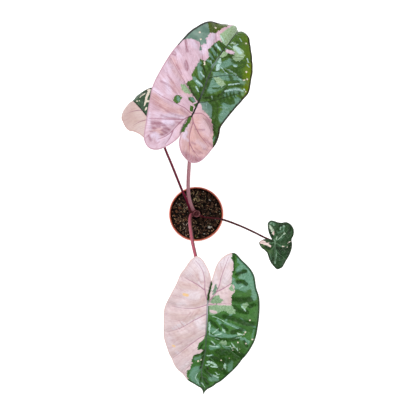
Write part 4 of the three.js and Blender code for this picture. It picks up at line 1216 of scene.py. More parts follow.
def green_skin(shader, look, flat, cloud, mottle, net, streaks):
    """The green ground with its furrows in painted shade, its painted silvery sheen, its veins and
    small pale specks.
    """
    shift = shader.scaled(shader.noise(flat, 2.6, 4, 0.65), -0.35, 0.35)
    shift = shader.sum(shift, shader.scaled(streaks, -0.22, 0.22))
    green = shader.mix(cloud, *look["green"][:2])
    green = shader.wash(green, mottle, 0.6, look["green"][2])
    # Streaks and sheen panels take a painted silvery sheen, standing in for reflected light.
    green = shader.wash(green, streaks, 0.15, look["sheen"][1])
    painted_sheen = shader.mix(shader.times(shader.sum(mottle, streaks), 0.5), *look["sheen"])
    if "tint" in look:
        tint = shader.times(shader.number("tint"), shader.scaled(mottle, 1.0, 0.9))
        green = shader.mix(tint, green, look["tint"])
        painted_sheen = shader.wash(painted_sheen, tint, 0.5, look["tint"])
    green = shader.wash(green, stroke(shader, "sheen", shift), 0.85, painted_sheen)
    # Deep marks darken the furrows with painted shade.
    green = shader.wash(green, stroke(shader, "furrow_shade", shift), 0.9, look["furrow_shade"])
    green = shader.wash(green, net, 0.3, look["green"][1])
    speck = shader.step(shader.cells(flat, 11), 0.64, 0.8)
    return shader.wash(green, speck, 0.16, look["pale"][0])


def upper_skin(name):
    look = LEAF_LOOKS[name]
    shader = Shader("leaf_" + name + "_upper", Specular_IOR_Level=0.1)
    flat = shader.vector("flat")
    masks = patch_masks(shader, flat)
    cloud = shader.step(shader.noise(flat, 0.55, 4), 0.36, 0.64)
    mottle = shader.step(shader.noise(flat, 3.5, 4, 0.7), 0.38, 0.62)
    grain = shader.step(shader.noise(flat, 14, 3, 0.7), 0.35, 0.65)
    net = small_veins(shader, flat)
    streaks = fibres(shader, flat)
    pink = pink_skin(shader, look, cloud, mottle, grain, net, streaks)
    green = green_skin(shader, look, flat, cloud, mottle, net, streaks)
    colour = shader.mix(masks["green"], pink, green)
    dark = masks["green"]
    for kind, texture in (("grey", cloud), ("olive", mottle), ("pale", mottle)):
        if kind in look:
            colour = shader.mix(masks[kind], colour, shader.mix(texture, *look[kind]))
            dark = shader.maths("MAXIMUM", dark, masks[kind])
    colour = shader.mix(masks["pink"], colour, pink)
    colour = shader.mix(masks["cream"], colour, CREAM)
    dark = shader.times(dark, shader.rest(masks["pink"]))

    vein = shader.step(shader.number("line"), 1.2, 0.45)
    colour = shader.wash(colour, vein, 0.85, shader.mix(dark, *look["veins"]))
    # Seam marks paint shadow into gaps and folds, and also draw the blade's own dark lines and spots.
    colour = shader.wash(colour, shader.number("seam_shadow"), 0.9, SEAM_SHADOW)
    # On the north and south blades, the midrib's light stretch carries a painted highlight.
    rib = shader.step(shader.number("rib"), 1.15, 0.8)
    colour = shader.mix(rib, colour, shader.mix(shader.number("tone"), *look["midrib"]))
    # Glint marks are painted highlights on the ridges of the green skin.
    uneven = shader.scaled(shader.noise(flat, 4.5, 3, 0.6), -0.7, 0.7)
    shine = stroke(shader, "glint", uneven, 0.3, 0.8)
    shine = shader.times(shine, shader.scaled(mottle, 0.9, 0.5))
    colour = shader.mix(shader.times(shine, dark), colour, look["glint"])
    colour = shader.mix(masks["fleck"], colour, CREAM)
    colour = shader.mix(shader.step(shader.number("gold"), 0.25, 0.7), colour, GOLD)
    edge = shader.step(shader.sum(shader.number("edge"), shader.times(dark, -1.3)), 2.8, 1.2)
    colour = shader.wash(colour, edge, 0.85, shader.mix(dark, *look["margin"]))

    roughness = shader.sum(shader.scaled(dark, 0.44, 0.26), shader.times(mottle, 0.07))
    height = shader.sum(shader.times(grain, 0.25), shader.times(net, 0.6))
    return shader.finish(colour, roughness, height, depth=0.12)


def under_skin(name):
    shader = Shader("leaf_" + name + "_under")
    flat = shader.vector("flat")
    masks = patch_masks(shader, flat)
    mottle = shader.step(shader.noise(flat, 3, 4, 0.7), 0.36, 0.64)
    net = small_veins(shader, flat)
    pink, green = (shader.mix(mottle, *UNDER_LOOK[kind]) for kind in ("pink", "green"))
    dark = shader.maths("MAXIMUM", masks["green"], masks["grey"])
    dark = shader.times(dark, shader.sum(1, shader.times(masks["pale"], -0.6)))
    colour = shader.mix(dark, pink, green)
    vein = shader.step(shader.number("line"), 1.9, 1.0)
    vein = shader.maths("MAXIMUM", vein, shader.times(net, 0.4))
    colour = shader.mix(vein, colour, shader.mix(dark, *UNDER_LOOK["veins"]))
    roughness = shader.scaled(mottle, 0.5, 0.62)
    return shader.finish(colour, roughness, shader.sum(net, shader.times(mottle, 0.3)), depth=0.15)


# Each petiole's centre line and its radii at foot, middle and blade.
PETIOLES = {
    "north": dict(
        path=[
            (-5, 6.5, 104), (-7, 10.5, 115), (-10, 18, 128), (-14.5, 35, 152), (-15, 59, 190),
            (-10.5, 102, 262), (-5.5, 140, 332), (-0.7, 175.9, 400),
        ],
        radii=(4, 3.6, 2.7),
    ),
    "south": dict(
        path=[
            (-7.5, -2.5, 104), (-9.8, -1.2, 118), (-11, -2.5, 134), (-11.8, -8, 162),
            (-11.2, -17, 200), (-7.6, -35, 245), (-3.2, -55.5, 281), (2.6, -76.1, 311),
            (12.5, -114, 340), (25.6, -158.3, 360),
        ],
        radii=(3.6, 3.4, 2.7),
    ),
    "west": dict(
        path=[
            (-13, 5.5, 98), (-15, 13, 109), (-21.4, 32.4, 130), (-29.6, 51.4, 150),
            (-35, 66, 168), (-47.6, 101, 215), (-57.6, 128, 259), (-67.1, 159.7, 300),
        ],
        radii=(2.6, 2.55, 2.3),
    ),
    "east": dict(
        path=[
            (6.4, -2.6, 104), (11, -4.8, 112), (21.3, -7.4, 122), (36.9, -8.7, 137),
            (57.2, -11.4, 155), (91.6, -23.4, 181), (120.9, -36.6, 195.5), (142, -47.2, 200.5),
            (163.6, -56.5, 205),
        ],
        radii=(2.1, 2.05, 1.9),
    ),
}

# Colours of a stalk's skin: its pale side, its dark side, and its streaks.
STALK_LOOKS = {
    "north": [(204, 146, 156), (140, 66, 84), (224, 178, 184)],
    "south": [(182, 84, 104), (96, 44, 48), (214, 140, 148)],
    "west": [(126, 22, 58), (80, 8, 30), (154, 56, 82)],
    "east": [(76, 20, 28), (42, 8, 14), (98, 40, 46)],
}
# The direction, seen from above, in which each stalk is dark.
STALK_SHADE = {"north": (-1, 0.1), "south": (1, 0), "west": (-0.8, -0.4), "east": (0.2, -1)}
# The distance between a petiole's rings, and how many points each ring has.
RING_STEP = 2.2
RING_POINTS = 28


def stalk_curve(points, spacing):
    """Evenly spaced points on a centripetal spline through the points."""
    p = np.asarray(points, float)
    p = np.vstack([2 * p[0] - p[1], p, 2 * p[-1] - p[-2]])
    share = np.linspace(0, 1, 40, endpoint=False)[:, None]
    pieces = []
    for p0, p1, p2, p3 in zip(p, p[1:], p[2:], p[3:]):
        d0, d1, d2 = (math.sqrt(math.dist(a, b)) for a, b in ((p0, p1), (p1, p2), (p2, p3)))
        leaving = ((p1 - p0) / d0 - (p2 - p0) / (d0 + d1) + (p2 - p1) / d1) * d1
        arriving = ((p2 - p1) / d1 - (p3 - p1) / (d1 + d2) + (p3 - p2) / d2) * d1
        pieces.append(hermite(p1, p2, leaving, arriving, share))
    return evenly(np.vstack(pieces + [p[-2:-1]]), spacing)


def frames(line):
    """Two directions square to each step of a line, turned as little as possible along it."""
    tangents = np.gradient(line, axis=0)
    tangents /= np.linalg.norm(tangents, axis=1)[:, None]
    normal = np.cross(tangents[0], (1, 0, 0))
    normals = []
    for tangent in tangents:
        normal = normal - tangent * (normal @ tangent)
        normal /= np.linalg.norm(normal)
        normals.append(normal)
    normals = np.array(normals)
    return normals, np.cross(tangents, normals)


def tube(line, radii, sides, profile=None):
    """Points and faces of a closed tube, with how far round (radians) and along (mm) each is.

    The last value is the direction in which each point of the rings lies from the line.
    """
    normals, binormals = frames(line)
    angles = np.linspace(0, TURN, sides, endpoint=False)
    along = travelled(line)
    reach = np.asarray(radii)[:, None] * np.ones(sides)
    if profile is not None:
        reach = reach + profile(angles[None, :], along[:, None])
    ring = normals[:, None] * np.cos(angles)[:, None] + binormals[:, None] * np.sin(angles)[:, None]
    rings = (line[:, None] + ring * reach[..., None]).reshape(-1, 3)
    points = np.vstack([rings, line[:1], line[-1:]])
    round_at = np.append(np.tile(angles, len(line)), [0, 0])
    along_at = np.append(np.repeat(along, sides), [0, along[-1]])
    return points, tube_faces(len(line), sides), round_at, along_at, ring.reshape(-1, 3)


def streaked_skin(shader, look, side):
    """Long streaks and flecks in the skin of a stalk, darker on one side."""
    stalk = shader.vector("stalk")
    streaks = shader.noise(shader.stretched(stalk, (1, 1, 0.06)), 26, 4, 0.6)
    patches = shader.noise(shader.stretched(stalk, (1, 1, 0.35)), 5, 3)
    flecks = shader.step(shader.cells(shader.stretched(stalk, (1, 1, 0.3)), 22), 0.62, 0.85)
    shade = shader.step(shader.sum(side, shader.scaled(patches, -0.5, 0.5)), -0.35, 0.75)
    colour = shader.mix(shade, look[0], look[1])
    colour = shader.wash(colour, shader.step(streaks, 0.45, 0.75), 0.5, look[2])
    colour = shader.wash(colour, flecks, 0.35, look[1])
    roughness = shader.scaled(streaks, 0.32, 0.52)
    return colour, roughness, shader.sum(streaks, shader.times(flecks, 0.4))


def stalk_material(name):
    shader = Shader("stalk_" + name, Specular_IOR_Level=0.08)
    skin = streaked_skin(shader, STALK_LOOKS[name], shader.number("side"))
    return shader.finish(*skin, depth=0.25)


def striated(angles, along):
    """Fine ridges along a stalk, which drift slowly round it."""
    drift = 0.4 * np.sin(along * 0.03)
    fine = 0.06 * np.sin(9 * angles + drift) + 0.04 * np.sin(14 * angles - 2 * drift)
    return fine + 0.05 * np.sin(along * 0.35 + 2 * angles)


def build_petiole(name):
    petiole = PETIOLES[name]
    line = stalk_curve(petiole["path"], RING_STEP)
    share = np.linspace(0, 1, len(line))
    radii = np.interp(share, (0, 0.5, 1), petiole["radii"])
    # The last steps round off, so that the end stays inside the rib under the blade.
    left = (1 - share) * (len(line) - 1) * RING_STEP
    radii *= np.sqrt(np.clip(left / 5 + 0.04, 0.04, 1))
    line[:, 2] -= 1.6 * np.exp(-left / 4)
    points, faces, round_at, along_at, outward = tube(line, radii, RING_POINTS, striated)
    made = mesh_object("petiole_skin_" + name, points, faces, [stalk_material(name)])
    shade = np.array([*STALK_SHADE[name], -0.25])
    side = np.append(outward @ (shade / np.linalg.norm(shade)), [0, 0])
    write_numbers(made, "side", side)
    reach = np.interp(along_at, np.linspace(0, along_at.max(), len(radii)), radii) / 10
    place = np.stack([np.cos(round_at) * reach, np.sin(round_at) * reach, along_at / 10], axis=1)
    write_numbers(made, "stalk", place)
    settle(made, "petiole_" + name)


# The pot's outline, [radius, height], from the middle of the base up the outside and down inside.
POT_PROFILE = [
    (0, 0), (41.2, 0), (42, 0.8), (57.6, 95), (58.6, 97), (59.2, 97.8), (60, 107.2), (59.2, 108),
    (57.8, 108), (57.4, 107.2), (56.2, 94), (40.6, 2.8), (39.8, 2), (0, 2),
]
CORNER_RADIUS = 0.7
POT_SEGMENTS = 192
# Drainage holes in the base. What cuts them stands from below the base to above its top.
HOLE_COUNT, HOLE_RING, HOLE_RADIUS = 8, 29, 4.5
HOLE_CUT = (-2, 5)
HOLE_SEGMENTS = 32


def rounded(profile, radius):
    """The profile with each inner corner turned into a small curve."""
    points = [np.array(p, float) for p in profile]
    made = [points[0]]
    for before, corner, after in zip(points, points[1:], points[2:]):
        back, on = math.dist(before, corner), math.dist(corner, after)
        reach = min(radius, 0.45 * back, 0.45 * on)
        start = corner + (before - corner) * reach / back
        end = corner + (after - corner) * reach / on
        for share in (0, 0.25, 0.5, 0.75, 1):
            left = 1 - share
            made.append(left**2 * start + 2 * share * left * corner + share**2 * end)
    return np.array(made + [points[-1]])


def lathe(profile, segments):
    """Points and faces of a profile turned about the z axis, which its two ends touch."""
    body = profile[1:-1]
    angles = np.linspace(0, TURN, segments, endpoint=False)
    rings = [
        np.stack([r * np.cos(angles), r * np.sin(angles), np.full(segments, z)], axis=1)
        for r, z in body
    ]
    ends = [(0, 0, profile[0][1]), (0, 0, profile[-1][1])]
    return np.vstack([*rings, ends]), tube_faces(len(body), segments)


def bake_modifiers(made):
    """Makes the result of an object's modifiers its own mesh."""
    seen = made.evaluated_get(bpy.context.evaluated_depsgraph_get())
    mesh = bpy.data.meshes.new_from_object(seen)
    made.modifiers.clear()
    made.data = mesh


def joined(parts):
    """Points and faces of many closed parts as one."""
    points, faces = [], []
    for part_points, part_faces in parts:
        start = len(points)
        points += [tuple(p) for p in part_points]
        faces += [[start + v for v in face] for face in part_faces]
    return points, faces


def pot_material():
    shader = Shader("pot_plastic", Specular_IOR_Level=0.4)
    place = shader.place()
    cloud = shader.step(shader.noise(place, 0.35, 4), 0.35, 0.7)
    grain = shader.noise(place, 30, 3, 0.6)
    rings = shader.noise(shader.stretched(place, (0.02, 0.02, 9)), 1, 2)
    scuffs = shader.noise(shader.stretched(place, (1, 1, 0.25)), 3, 6, 0.75)
    scuffs = shader.step(scuffs, 0.62, 0.8)
    height = shader.height_of(place)
    dust = shader.times(shader.step(height, 3.5, 0.0), shader.scaled(cloud, 0.15, 0.55))
    colour = shader.mix(cloud, (222, 112, 84), (210, 98, 72))
    colour = shader.wash(colour, grain, 0.25, (232, 132, 104))
    colour = shader.wash(colour, scuffs, 0.3, (236, 160, 136))
    colour = shader.mix(dust, colour, (142, 92, 72))
    # The top face of the rim is lighter: a painted highlight.
    rim_highlight = shader.step(height, 10.62, 10.76)
    colour = shader.wash(colour, rim_highlight, 0.6, (240, 140, 118))
    roughness = shader.sum(shader.scaled(cloud, 0.38, 0.5), shader.times(scuffs, 0.15))
    return shader.finish(colour, roughness, shader.sum(rings, shader.times(grain, 0.3)), depth=0.15)


def build_pot():
    points, faces = lathe(rounded(POT_PROFILE, CORNER_RADIUS), POT_SEGMENTS)
    made = mesh_object("pot_shell", points, faces, [pot_material()])
    low, high = HOLE_CUT
    side = [(0, low), (HOLE_RADIUS, low), (HOLE_RADIUS, high), (0, high)]
    column, sides = lathe(side, HOLE_SEGMENTS)
    holes = []
    for i in range(HOLE_COUNT):
        angle = TURN * i / HOLE_COUNT
        place = (HOLE_RING * math.cos(angle), HOLE_RING * math.sin(angle), 0)
        holes.append((column + place, sides))
    drill = mesh_object("drill", *joined(holes), [])
    cut = made.modifiers.new("holes", "BOOLEAN")
    cut.operation = "DIFFERENCE"
    cut.solver = "EXACT"
    cut.object = drill
    bake_modifiers(made)
    bpy.data.objects.remove(drill)
    made.data.set_sharp_from_angle(angle=math.radians(40))
    settle(made, "pot")


SOIL_LEVEL = 95
SOIL_RADIUS = 55.9
STEM_REACH = 15
STRAND_SIDES = 6
# The bed's foot inside the pot: the outer radius and height of its rings, from the top down.
BED_FOOT = [(SOIL_RADIUS - 0.9, 88), (40.5, 4), (38.5, 2.4)]
# The soil's materials: their main colour, their other colour and the colour of their grains, and
# their least and greatest roughness.
SOIL_LOOKS = {
    "soil_bed": ([(10, 7, 6), (26, 19, 16), (74, 56, 44)], (0.75, 0.98)),
    "soil_crumbs": ([(16, 11, 10), (94, 68, 54), (176, 138, 108)], (0.75, 0.98)),
    "soil_bark": ([(118, 78, 54), (86, 56, 40), (176, 122, 86)], (0.6, 0.85)),
    "soil_fibre": ([(184, 154, 118), (124, 96, 70), (220, 196, 160)], (0.65, 0.9)),
    "soil_perlite": ([(216, 214, 204), (184, 180, 168), (232, 230, 224)], (0.7, 0.9)),
    "soil_straw": ([(212, 194, 146), (166, 144, 102), (230, 220, 180)], (0.55, 0.8)),
    "soil_roots": ([(196, 178, 160), (160, 134, 112), (214, 200, 188)], (0.6, 0.85)),
    "soil_moss": ([(124, 130, 44), (92, 98, 34), (160, 160, 72)], (0.75, 0.98)),
}


def dome(x, y, scale, layer, radius):
    """A round bump for each cell of the soil, 1 at its middle and 0 beyond the radius."""
    nearest = noise.voronoi(Vector((x * scale, y * scale, layer)))[0][0]
    return math.sqrt(max(0, 1 - (nearest / radius) ** 2))


def ground(x, y):
    """Height of the soil's top: low mounds, clods and crumbs, higher at the stem and the rim."""
    broad = math.sin(x * 0.16 + 0.7) * math.cos(y * 0.14 - 0.4)
    fine = math.sin(x * 0.43 - y * 0.21) * math.sin(y * 0.37 + x * 0.12 + 1.9)
    height = SOIL_LEVEL + 1.3 * (0.6 * broad + 0.5 * fine)
    clods = noise.fractal(Vector((x * 0.11, y * 0.11, 4.0)), 0.7, 2.1, 4)
    crumbs = dome(x, y, 0.33, 0.5, 0.62) + 0.4 * dome(x, y, 0.8, 7.5, 0.6)
    height += 1.5 * clods + 1.3 * crumbs - 0.6
    rim = max(0, math.hypot(x, y) - 46) / 10
    heap = math.exp(-((math.hypot(x + 2, y - 1) / 17) ** 2))
    return height + 1.2 * rim**2 + 1.8 * heap


def soil_material(name):
    """Crumbly or fibrous matter in three colours, darkened with painted shade in patches that stand
    for its hollows.
    """
    look, roughness = SOIL_LOOKS[name]
    shader = Shader(name, Specular_IOR_Level=0.08)
    place = shader.place()
    coarse = shader.step(shader.noise(place, 3, 5, 0.7), 0.38, 0.62)
    grains = shader.cells(place, 11)
    fine = shader.noise(place, 28, 4, 0.7)
    # Patches that stand for hollows, darkened with painted shade.
    hollow_shade = shader.step(shader.noise(place, 0.75, 3, 0.6), 0.47, 0.57)
    colour = shader.mix(coarse, look[0], look[1])
    colour = shader.wash(colour, shader.step(grains, 0.6, 0.85), 0.6, look[2])
    colour = shader.wash(colour, fine, 0.3, look[1])
    colour = shader.wash(colour, hollow_shade, 0.6, look[0])
    rough = shader.scaled(fine, *roughness)
    return shader.finish(colour, rough, shader.sum(fine, grains), depth=0.5)


def build_soil():
    """The bed of soil: a rough top, and sides and a base that follow the inside of the pot."""
    rng = np.random.default_rng(11)
    step = 0.75
    side = np.arange(-SOIL_RADIUS, SOIL_RADIUS, step)
    x, y = (axis.ravel() for axis in np.meshgrid(side, side))
    fill = np.stack([x, y], axis=1) + rng.uniform(-0.2, 0.2, (len(x), 2)) * step
    fill = fill[np.hypot(*fill.T) < SOIL_RADIUS - step * 0.7]
    count = int(TURN * SOIL_RADIUS / step)
    angles = np.arange(count) / count * TURN
    edge = np.stack([np.cos(angles), np.sin(angles)], axis=1) * SOIL_RADIUS
    flat, triangles = filled(count, np.vstack([edge, fill]))
    top = [(x, y, ground(x, y)) for x, y in flat]
    foot = edge / SOIL_RADIUS
    rings = [np.column_stack([foot * radius, np.full(count, z)]) for radius, z in BED_FOOT]
    points = np.vstack([top, *rings, [(0, 0, BED_FOOT[-1][1])]])
    faces = triangles.tolist()
    upper = around = np.arange(count)
    for i in range(len(rings)):
        lower = len(top) + i * count + around
        faces += np.stack([upper, lower, np.roll(lower, -1), np.roll(upper, -1)], axis=1).tolist()
        upper = lower
    faces += [[len(points) - 1, b, a] for a, b in zip(upper, np.roll(upper, -1))]
    soil = mesh_object("soil_bed", points, faces, [soil_material("soil_bed")])
    settle(soil, "soil")


def lump(rng, centre, size, roughness=0.3, detail=2):
    """An irregular closed lump. size is its three half widths."""
    ball = bmesh.new()
    bmesh.ops.create_icosphere(ball, subdivisions=detail, radius=1)
    shift = Vector(rng.uniform(0, 50, 3))
    turn = rng.uniform(0, TURN)
    points = []
    for vertex in ball.verts:
        coarse, fine = (noise.noise(vertex.co * scale + shift) for scale in (1.7, 4))
        bump = 1 + roughness * (coarse + 0.5 * fine)
        x, y, z = (value * bump * half for value, half in zip(vertex.co, size))
        points.append((
            centre[0] + x * math.cos(turn) - y * math.sin(turn),
            centre[1] + x * math.sin(turn) + y * math.cos(turn),
            centre[2] + z,
        ))
    faces = [[v.index for v in face.verts] for face in ball.faces]
    ball.free()
    return points, faces


def strand(line, radius):
    """A thin closed thread that tapers towards both ends."""
    line = evenly(np.asarray(line, float), max(0.8, radius * 1.5))
    share = np.linspace(0, 1, len(line))
    radii = radius * (0.35 + 0.65 * np.sqrt(np.clip(1 - (2 * share - 1) ** 2, 0, 1)))
    return tube(line, radii, STRAND_SIDES)[:2]


def gather(name, parts, material):
    """One piece of the object from many small closed parts."""
    made = mesh_object(name, *joined(parts), [material])
    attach(made, "root")


def on_soil(x, y, above):
    return (x, y, ground(x, y) + above)


def scattered(rng, count, reach=54):
    """Places on the soil, clear of the stem."""
    places = []
    while len(places) < count:
        x, y = rng.uniform(-reach, reach, 2)
        if STEM_REACH < math.hypot(x, y) < reach:
            places.append((x, y))
    return places


# Things that lie on the soil, by their places in mm: grains of perlite and tufts of moss with
# their radius, chips of bark with their two half widths, and straws and roots as lines.
PERLITE = [
    (30, 31, 2.3), (-1, -29, 2.2), (29, -30, 3.2), (34, -29, 1.8), (3, -52, 1.6), (-44, 23, 1.5),
    (-37, 20, 1.3), (-20, 15, 1.2), (19, -5, 1.0), (-23, 19, 1.2), (18, -44, 1.4), (42, -12, 1.1),
    (-14, -44, 1.0), (44, 22, 1.2), (16, 50, 1.1),
]
BARK = [
    (-25, -10, 3.2, 5.0), (-36, 13, 4.6, 2.6), (-44, 6, 2.2, 3.4), (-50, -3, 2.0, 3.0),
    (-46, -12, 2.6, 1.8), (-40, -21, 1.8, 2.8), (14, -19, 2.4, 1.6), (21, -14, 1.8, 2.6),
    (9, 44, 2.6, 1.6), (-29, -1, 1.6, 2.2), (40, 6, 2.8, 1.7), (26, 18, 1.8, 2.6), (34, -44, 2.2, 1.5),
]
STRAW = [
    [(-2, 42), (2, 46), (5, 51)], [(7, 34), (3, 38), (-2, 40)], [(-6, 36), (-2, 34), (4, 36)],
    [(3, 27), (0, 32), (-3, 37)], [(-5, 25), (-4, 30), (-5, 35)], [(8, 30), (5, 33), (4, 38)],
    [(1, 25), (5, 29), (10, 32)], [(-8, 30), (-5, 32), (-1, 31)],
]
ROOTS = [
    [(-17, -17), (-22, -24), (-24, -29), (-30, -36)], [(-19, -36), (-23, -38), (-26, -41)],
    [(-21, -50), (-24, -46), (-30, -44)], [(-30, -20), (-27, -25), (-28, -31)],
]
MOSS = [(51, -5, 2.6), (53, 0, 1.8), (-1, -50, 3.0), (2, -52, 2.0), (-26, 46, 2.2), (50, -12, 1.6)]
LUMPS_PER_TUFT = 9


def lay_down(path, above):
    """A path on the soil, smoothed and lifted a little."""
    line = smooth_line(path, 0.8)
    heights = np.array([ground(x, y) for x, y in line])
    level = np.convolve(np.pad(heights, 4, mode="edge"), np.ones(9) / 9, mode="valid")
    return np.column_stack([line, level + above])


def bent_path(rng, x, y):
    """A short path from a place in any direction, bent a little half way."""
    length, heading = rng.uniform(3, 8), rng.uniform(0, TURN)
    turned = heading + rng.uniform(-0.8, 0.8) / 2
    return [
        (x, y), (x + length / 2 * math.cos(heading), y + length / 2 * math.sin(heading)),
        (x + length * math.cos(turned), y + length * math.sin(turned)),
    ]


def build_litter():
    """What lies on the bed, each kind as one piece."""
    rng = np.random.default_rng(23)

    def spread(name, parts):
        gather(name, parts, soil_material(name))

    crumbs = []
    for x, y in scattered(rng, 620):
        size = rng.uniform(0.6, 3.6) * rng.uniform(0.4, 1)
        crumbs.append(lump(rng, on_soil(x, y, size * 0.25), size * rng.uniform(0.6, 1.3, 3), 0.6))
    spread("soil_crumbs", crumbs)

    chips = [lump(rng, on_soil(x, y, 0.6), (a, b, 1.1), 0.45, 3) for x, y, a, b in BARK]
    for x, y in scattered(rng, 34):
        size = rng.uniform(0.9, 2.4)
        chips.append(lump(rng, on_soil(x, y, 0.3), (size, size * 0.45, 0.7), 0.5))
    spread("soil_bark", chips)

    fibre = []
    for x, y in scattered(rng, 70):
        size = (rng.uniform(1, 3.2), rng.uniform(0.6, 1.3), 0.7)
        fibre.append(lump(rng, on_soil(x, y, 0.5), size, 0.7))
    spread("soil_fibre", fibre)

    white = []
    for x, y, r in PERLITE:
        white.append(lump(rng, on_soil(x, y, r * 0.35), (r, r * 0.8, r * 0.8), 0.35, 3))
    for x, y in scattered(rng, 40):
        r = rng.uniform(0.3, 0.7)
        white.append(lump(rng, on_soil(x, y, r * 0.4), (r, r, r), 0.35))
    spread("soil_perlite", white)

    straws = [strand(lay_down(path, 1.0), 0.75) for path in STRAW]
    for x, y in scattered(rng, 60):
        path = bent_path(rng, x, y)
        if max(math.hypot(*p) for p in path) < 54:
            straws.append(strand(lay_down(path, 0.7), rng.uniform(0.2, 0.5)))
    spread("soil_straw", straws)

    spread("soil_roots", [strand(lay_down(path, 0.9), 0.8) for path in ROOTS])

    tufts = []
    for x, y, reach in MOSS:
        for _ in range(LUMPS_PER_TUFT):
            dx, dy = rng.normal(0, reach * 0.55, 2)
            if math.hypot(x + dx, y + dy) < 55:
                r = rng.uniform(0.5, 1.0)
                tufts.append(lump(rng, on_soil(x + dx, y + dy, r * 0.4), (r, r, r * 0.8), 0.6))
    spread("soil_moss", tufts)


# How many steps a rolled sheet has round its axis and up, and how far its top flares outwards.
SHEET_AROUND, SHEET_UP = 64, 14
FLARE = 4.32
# Sheaths round the stem, as rolled sheets: centre, first and last angle, radii and heights at foot
# and top, thickness, how ragged the top is, and a seed. One is fresh, the husks are dry.
FRESH_SHEATH = ((1.2, 0.6), (0.6, 7.4), (6.2, 5.6), (104, 124.5), 1.0, 0.7, 3)
HUSKS = [
    ((0.5, 0.5), (2.4, 4.6), (12.5, 13.5), (93, 104), 0.5, 2.4, 5),
    ((0.5, 0.5), (-1.4, 0.5), (11.0, 12.5), (93, 102), 0.5, 2.6, 7),
    ((0.0, 1.0), (0.9, 1.9), (13.5, 14.5), (93, 105), 0.5, 2.0, 9),
]


def stem_material():
    """Reddish skin in lengthwise streaks, browned and papery towards the soil."""
    shader = Shader("stem_skin", Coat_Weight=0.08)
    place = shader.place()
    cloud = shader.step(shader.noise(place, 1.6, 4, 0.6), 0.38, 0.62)
    streaks = shader.noise(shader.stretched(place, (1, 1, 0.15)), 16, 4, 0.65)
    papery = shader.step(shader.noise(place, 2.6, 5, 0.7), 0.52, 0.6)
    low = shader.step(shader.height_of(place), 11.6, 9.6)
    colour = shader.mix(cloud, (134, 62, 70), (92, 34, 42))
    colour = shader.wash(colour, shader.step(streaks, 0.45, 0.75), 0.5, (178, 112, 114))
    brown = shader.times(low, shader.scaled(papery, 0.25, 0.95))
    colour = shader.mix(brown, colour, (104, 72, 50))
    return shader.finish(colour, shader.scaled(streaks, 0.4, 0.65), streaks, depth=0.35)


def roughen(made):
    """Lengthwise ridges and cross wrinkles in the skin of the stem."""
    mesh = made.data
    places = np.zeros(len(mesh.vertices) * 3)
    mesh.vertices.foreach_get("co", places)
    normals = np.array([vertex.normal for vertex in mesh.vertices])
    places = places.reshape(-1, 3) / MM
    depth = [
        0.28 * noise.noise(Vector((x * 0.9, y * 0.9, z * 0.12)))
        + 0.18 * noise.noise(Vector((x * 0.3, y * 0.3, z * 0.8)))
        for x, y, z in places
    ]
    places += normals * np.array(depth)[:, None]
    mesh.vertices.foreach_set("co", (places * MM).ravel())
    mesh.update()


def build_stem():
    """The stem, with its solids melted together and its skin roughened."""
    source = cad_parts["stem"]
    made = bpy.data.objects.new("stem_body", source.data.copy())
    bpy.context.scene.collection.objects.link(made)
    remesh = made.modifiers.new("remesh", "REMESH")
    remesh.mode = "VOXEL"
    remesh.voxel_size = 0.55 * MM
    remesh.use_smooth_shade = True
    smooth = made.modifiers.new("smooth", "SMOOTH")
    smooth.factor = 0.5
    smooth.iterations = 6
    bake_modifiers(made)
    made.data.materials.clear()
    made.data.materials.append(stem_material())
    roughen(made)
    settle(made, "stem")


def wrapped_sheet(centre, turns, radii, heights, thickness, ragged, seed):
    """A thin sheet rolled round an upright axis, a little wider with each turn."""
    shift = Vector(np.random.default_rng(seed).uniform(0, 40, 3))
    inner, outer = [], []
    for i in range(SHEET_AROUND + 1):
        share = i / SHEET_AROUND
        angle = tapered(turns, share)
        out = Vector((math.cos(angle), math.sin(angle), 0))
        end = 1 - abs(2 * share - 1) ** 6
        coarse = noise.noise(Vector((share * 7, 0, 0)) + shift)
        fine = noise.noise(Vector((share * 19, 3, 0)) + shift)
        top = heights[1] + ragged * (coarse + 0.5 * fine)
        for j in range(SHEET_UP + 1):
            rise = j / SHEET_UP
            radius = tapered(radii, rise) + 1.4 * share
            radius += 0.5 * noise.noise(Vector((share * 5, rise * 2, 1)) + shift)
            radius += FLARE * max(0, rise - 0.75) ** 2
            wall = thickness * (0.35 + 0.65 * end) * (1 - 0.5 * rise)
            middle = Vector((*centre, tapered((heights[0], top), rise))) + out * radius
            inner.append(middle - out * wall / 2)
            outer.append(middle + out * wall / 2)
    count, row = len(inner), SHEET_UP + 1
    faces = []
    for start in range(0, SHEET_AROUND * row, row):
        for a in range(start, start + SHEET_UP):
            b = a + row
            faces.append([a, a + 1, b + 1, b])
            faces.append([count + a, count + b, count + b + 1, count + a + 1])
    for a in range(0, SHEET_AROUND * row, row):
        b, up, up_after = a + row, a + SHEET_UP, a + row + SHEET_UP
        faces.append([a, b, count + b, count + a])
        faces.append([up, count + up, count + up_after, up_after])
    for a in range(SHEET_UP):
        b = SHEET_AROUND * row + a
        faces.append([a, count + a, count + a + 1, a + 1])
        faces.append([b, b + 1, count + b + 1, count + b])
    return [tuple(p) for p in inner + outer], faces


def sheath_material(name, look):
    shader = Shader(name, Coat_Weight=0.06)
    place = shader.place()
    streaks = shader.noise(shader.stretched(place, (1, 1, 0.12)), 20, 4, 0.65)
    cloud = shader.step(shader.noise(place, 2.2, 4), 0.4, 0.6)
    colour = shader.mix(cloud, look[0], look[1])
    colour = shader.wash(colour, shader.step(streaks, 0.42, 0.7), 0.6, look[2])
    return shader.finish(colour, shader.scaled(streaks, 0.42, 0.66), streaks, depth=0.3)


